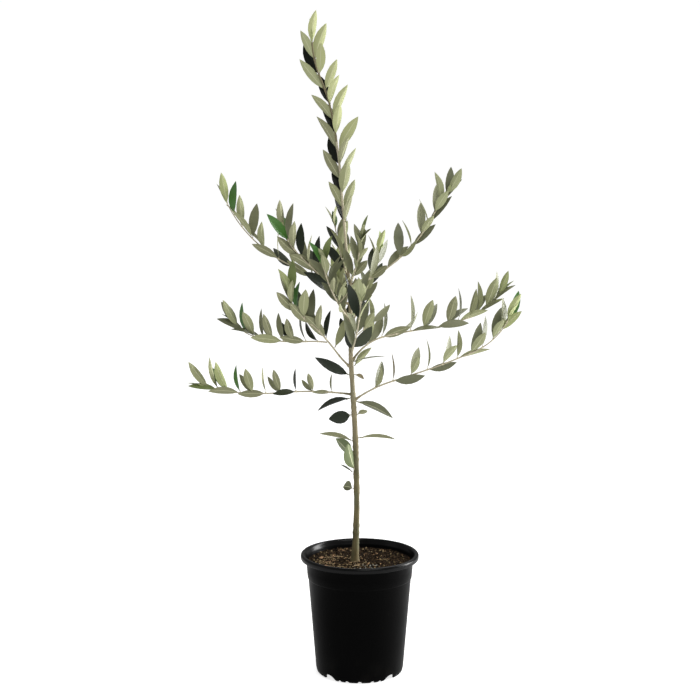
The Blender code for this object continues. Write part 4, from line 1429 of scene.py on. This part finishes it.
def blade_pattern():
    """Corners as (station, corner of the section), and faces with their side."""
    shares = [share for share, _ in LEAF_OUTLINE]
    start_piece()
    bpy.ops.mesh.primitive_cylinder_add(vertices=LEAF_SIDES, radius=1, depth=1,
                                        end_fill_type="NOTHING", location=(0, 0, 0.5))
    tube = bpy.context.object
    bpy.ops.object.transform_apply(location=True)
    edit(tube)
    for share in shares[1:-1]:
        bpy.ops.mesh.select_all(action="SELECT")
        bpy.ops.mesh.bisect(plane_co=(0, 0, share), plane_no=(0, 0, 1))
    start_piece()
    points, sides = pattern_of(tube)
    corners = []
    for point in points:
        station = min(range(len(shares)), key=lambda i: abs(shares[i] - point.z))
        turn = math.atan2(point.x, point.y) % math.tau
        corners.append((station, round(turn / math.tau * LEAF_SIDES) % LEAF_SIDES))
    parts = []
    for side in sides:
        touched = {corners[index][1] for index in side}
        parts.append(UPPER if touched <= UPPER_CORNERS
                     else MIDRIB if touched == RIB_CORNERS else UNDER)
    return corners, sides, parts


PATTERN, PATTERN_SIDES, PATTERN_PARTS = blade_pattern()
print("faces of one blade:", len(PATTERN_SIDES))

# %% [markdown]
# ### Leaf colours
#
# Leaves differ by age. Each is given a plain upper colour and a plain under
# colour from short lists. Undersides near the foot of a shoot are grey-brown,
# and the youngest leaves at its tip are yellow-green. A share of the upper
# sides is dark, most on the leader and the left-hand shoots, where the larger
# share is painted shade. The leader's dark upper sides take a near-black
# painted shade, the undersides on the left-hand shoots a painted shade one
# tone darker, and the undersides at the leader's right a bright painted
# light. Their gloss comes from roughness and a very fine bump.

# %% Plain leaf colours
# Name, colour, roughness and shine of each finish.
LEAF_FINISHES = (
    ("upper_deep", (19, 28, 14), 0.44, 0.28), ("upper_dark", (44, 51, 30), 0.46, 0.30),
    ("upper_olive", (92, 95, 70), 0.50, 0.35), ("upper_moss", (110, 112, 84), 0.52, 0.35),
    ("upper_bright", (62, 102, 42), 0.44, 0.40), ("upper_young", (110, 122, 72), 0.52, 0.35),
    ("under_sage", (136, 139, 104), 0.74, 0.20), ("under_pale", (144, 148, 112), 0.76, 0.20),
    ("under_grey", (124, 125, 96), 0.74, 0.20), ("under_brown", (124, 114, 87), 0.74, 0.20),
    ("under_young", (144, 151, 104), 0.72, 0.20), ("midrib_pale", (170, 171, 138), 0.66, 0.25),
    ("upper_green", (92, 104, 66), 0.50, 0.35), ("under_leafy", (100, 110, 76), 0.60, 0.25),
    # The last two finishes are painted: a near-black painted shade for the leader's dark upper
    # sides, and a bright painted light for the undersides at the leader's right.
    ("upper_shade", (13, 17, 9), 0.44, 0.14), ("under_lit", (154, 158, 114), 0.72, 0.20),
)
(DEEP, DARK, OLIVE, MOSS, BRIGHT, YOUNG,
 SAGE, PALE, GREY, BROWN, FRESH, RIB, GREEN, LEAFY, PAINTED_SHADE, PAINTED_LIGHT) = range(len(LEAF_FINISHES))

# How many of a shoot's leaves have a dark upper side. Olive leaves are dark above,
# and the higher shares on the leader and the left-hand shoots, against the low
# ones on the right, are painted shade.
DARK_SHARE = {"leader": 0.80, "low_left": 0.44, "middle_left": 0.48, "middle_left_side": 0.46,
              "upper_left_outer": 0.44, "upper_left_inner": 0.46, "low_right": 0.08,
              "middle_right": 0.10, "upper_right": 0.12}
OTHER_DARK_SHARE = 0.30
# Ages from which a leaf is yellow-green, turns from dark to bright green on a left
# shoot and has a painted light on its underside on the leader, and from which
# undersides lose their grey.
YOUNG_AGE, BRIGHT_AGE, PAINTED_LIGHT_AGE = 0.92, 0.75, 0.45
SAGE_AGE, MIXED_AGE = 0.6, 0.25
AGE_JITTER = 0.08

# %% Draw a leaf's two colours
def leaf_finish(name, colour, roughness, gloss):
    finish = Finish(name, srgb(*colour), roughness, Specular_IOR_Level=gloss)
    scales = finish.noise(1300.0, detail=2.0)
    finish.set("Roughness", scales * 0.14 + (roughness - 0.07))
    finish.bump(scales, 0.2, 0.0002)
    return finish


def drawn_colours(dice, age, shoot):
    """Upper and under colour; age runs from 0 at a shoot's foot to 1 at its tip."""
    # Partly painted shade: more dark upper sides on the leader and the left-hand shoots.
    dark = dice.random() < DARK_SHARE.get(shoot.name, OTHER_DARK_SHARE)
    if age > YOUNG_AGE:
        return dice.choice((YOUNG, MOSS, BRIGHT)), dice.choice((FRESH, PALE))
    upper = dice.choice((DEEP, DARK, DEEP) if dark else (OLIVE, MOSS, OLIVE, MOSS))
    if age > SAGE_AGE:
        return upper, dice.choice((SAGE, PALE, SAGE))
    if age > MIXED_AGE:
        return upper, dice.choice((SAGE, GREY, SAGE, PALE))
    return upper, dice.choice((GREY, SAGE if shoot is LEADER else BROWN, SAGE, GREY))


def leaf_colours(dice, leaf, age, shoot):
    """The drawn colours, with painted light and shade added on the leader and the left side."""
    upper, under = drawn_colours(dice, age + dice.uniform(-AGE_JITTER, AGE_JITTER), shoot)
    dark = upper in (DEEP, DARK)
    if shoot is LEADER:
        # Painted shade: the leader's dark upper sides take the near-black finish.
        upper = PAINTED_SHADE if dark else upper
        # Painted light: older leaves of the leader that point right get the bright underside.
        under = PAINTED_LIGHT if age > PAINTED_LIGHT_AGE and leaf.direction.x > 0 else under
    elif "left" in shoot.name:
        upper = BRIGHT if dark and age > BRIGHT_AGE else upper
        # Painted shade: the undersides on the left-hand shoots are one tone darker.
        under = {PALE: SAGE, SAGE: GREY}.get(under, under)
    return upper, under


print("leaf colours:", len(LEAF_FINISHES))

# %% [markdown]
# ### All blades in one mesh
#
# Each leaf draws a fold, a bow, a sway and a width for its copy of the blade.
# The single leaves on the trunk have a look of their own. Each shoot ends in
# two small, half-open leaves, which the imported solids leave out.

# %% Add one blade to the joined mesh
BLADE_THICKNESS = 0.00042
EDGE_SLIMNESS = 0.35  # thickness of the blade's narrowest end against its middle
FOLD_RANGE = (0.10, 0.34)
BOW_RANGE = (0.025, 0.085)
SWAY = 0.035
NARROWING = (0.84, 1.04)  # range of a blade's width against the solid's
TRUNK_BLADE_START = 0.03  # a blade on the trunk has next to no bare stalk


def add_blade(store, leaf, upper, under, dice, width_share=LEAF_WIDTH_SHARE,
              begin=STALK_SHARE, bend=1.0):
    """Adds one leaf's corners, faces and colours to the lists of a joined mesh."""
    corners, faces, colours = store
    place = leaf.matrix()
    fold = dice.uniform(*FOLD_RANGE)
    bow = dice.uniform(*BOW_RANGE) * bend
    sway = dice.uniform(-SWAY, SWAY)
    half = leaf.length * width_share / 2 * dice.uniform(*NARROWING)
    placed = []
    for station, corner in PATTERN:
        share, width = LEAF_OUTLINE[station]
        way = begin + (1 - begin) * share
        across_share, fold_share, thick_share = LEAF_SECTION[corner]
        wide = half * width
        slim = EDGE_SLIMNESS + (1 - EDGE_SLIMNESS) * width
        arch = math.sin(math.pi * way)
        x = across_share * wide + sway * arch * leaf.length
        z = (bow * arch * leaf.length + fold * wide * fold_share
             + thick_share * BLADE_THICKNESS * slim)
        placed.append(place @ Vector((x, way * leaf.length, z)))
    add_copy(corners, faces, placed, PATTERN_SIDES)
    look = {UPPER: upper, UNDER: under, MIDRIB: RIB}
    colours += [look[part] for part in PATTERN_PARTS]

# %% Single leaves and small leaves at the tips
# Looks of the shoots that are a single leaf, in the order of the plan: upper and under
# colour, width as a share of the length and how strongly the blade bows.
SINGLE_LOOKS = (
    (SAGE, SAGE, 0.30, 1.0), (DARK, DARK, 0.26, 1.0), (MOSS, LEAFY, 0.54, 0.6),
    (GREEN, GREEN, 0.72, 1.0), (OLIVE, GREY, 0.29, 1.0), (OLIVE, GREY, 0.30, 1.4),
    (DEEP, DEEP, 0.52, 1.0), (GREY, GREY, 0.80, 1.0), (DEEP, DEEP, 0.32, 1.5),
    (DARK, OLIVE, 0.34, 1.4), (BROWN, BROWN, 0.60, 1.6), (DEEP, DARK, 0.30, 1.0),
    (SAGE, SAGE, 0.30, 1.0), (DARK, OLIVE, 0.24, 1.0), (DEEP, DARK, 0.32, 1.0),
    (OLIVE, OLIVE, 1.50, 3.0),
)
SINGLE_AGE = 0.1
END_LEAF_OUT = 0.42  # how far the two small leaves at a shoot's tip point aside
END_LEAF_UP = 0.25
END_LEAF_FACING = (0.3, 0.2)  # how far their upper sides face along the shoot and up
END_LEAF_LENGTHS = (0.014, 0.022)
END_LEAF_WIDTH = 0.24


def end_leaves(shoot, dice):
    """The last two leaves, small and half open, beside the bud at a shoot's tip."""
    onwards, upwards = END_LEAF_FACING
    tip, axis = along(shoot.points, shoot.length)
    side = axis.cross(across(SKY, axis)).normalized()
    for sign in (-1, 1):
        direction = (axis + side * sign * END_LEAF_OUT + SKY * END_LEAF_UP).normalized()
        face = across(axis * onwards + SKY * upwards - side * sign, direction)
        yield Leaf(tip - axis * MM, direction, face, dice.uniform(*END_LEAF_LENGTHS))

# %% Copy the blade to every leaf
looks = dict(zip((shoot.name for shoot in SHOOTS if not shoot.pairs), SINGLE_LOOKS))
blades = ([], [], [])
for shoot in EVERY_SHOOT:
    dice = random.Random(shoot.name)
    for leaf in kept[shoot.name]:
        far = min((leaf.root - shoot.points[0]).length / shoot.length, 1.0)
        upper, under = leaf_colours(dice, leaf, far if shoot.pairs else SINGLE_AGE, shoot)
        if shoot.pairs:
            add_blade(blades, leaf, upper, under, dice)
        else:
            upper, under, width, bend = looks[shoot.name]
            add_blade(blades, leaf, upper, under, dice, width, TRUNK_BLADE_START, bend)
    if shoot.pairs:
        for leaf in end_leaves(shoot, dice):
            add_blade(blades, leaf, YOUNG, FRESH, dice, END_LEAF_WIDTH)
leaves = new_piece("olive_leaves", blades[0], blades[1])
leaves.data.polygons.foreach_set("material_index", blades[2])
close_and_face_out(leaves)
print("blades:", len(blades[1]) // len(PATTERN_SIDES))
finish_piece(leaves, MASSES, [leaf_finish(*row) for row in LEAF_FINISHES])

# %% [markdown]
# ## The imported model's box
#
# The dressed plant has to stay in the imported model's box.
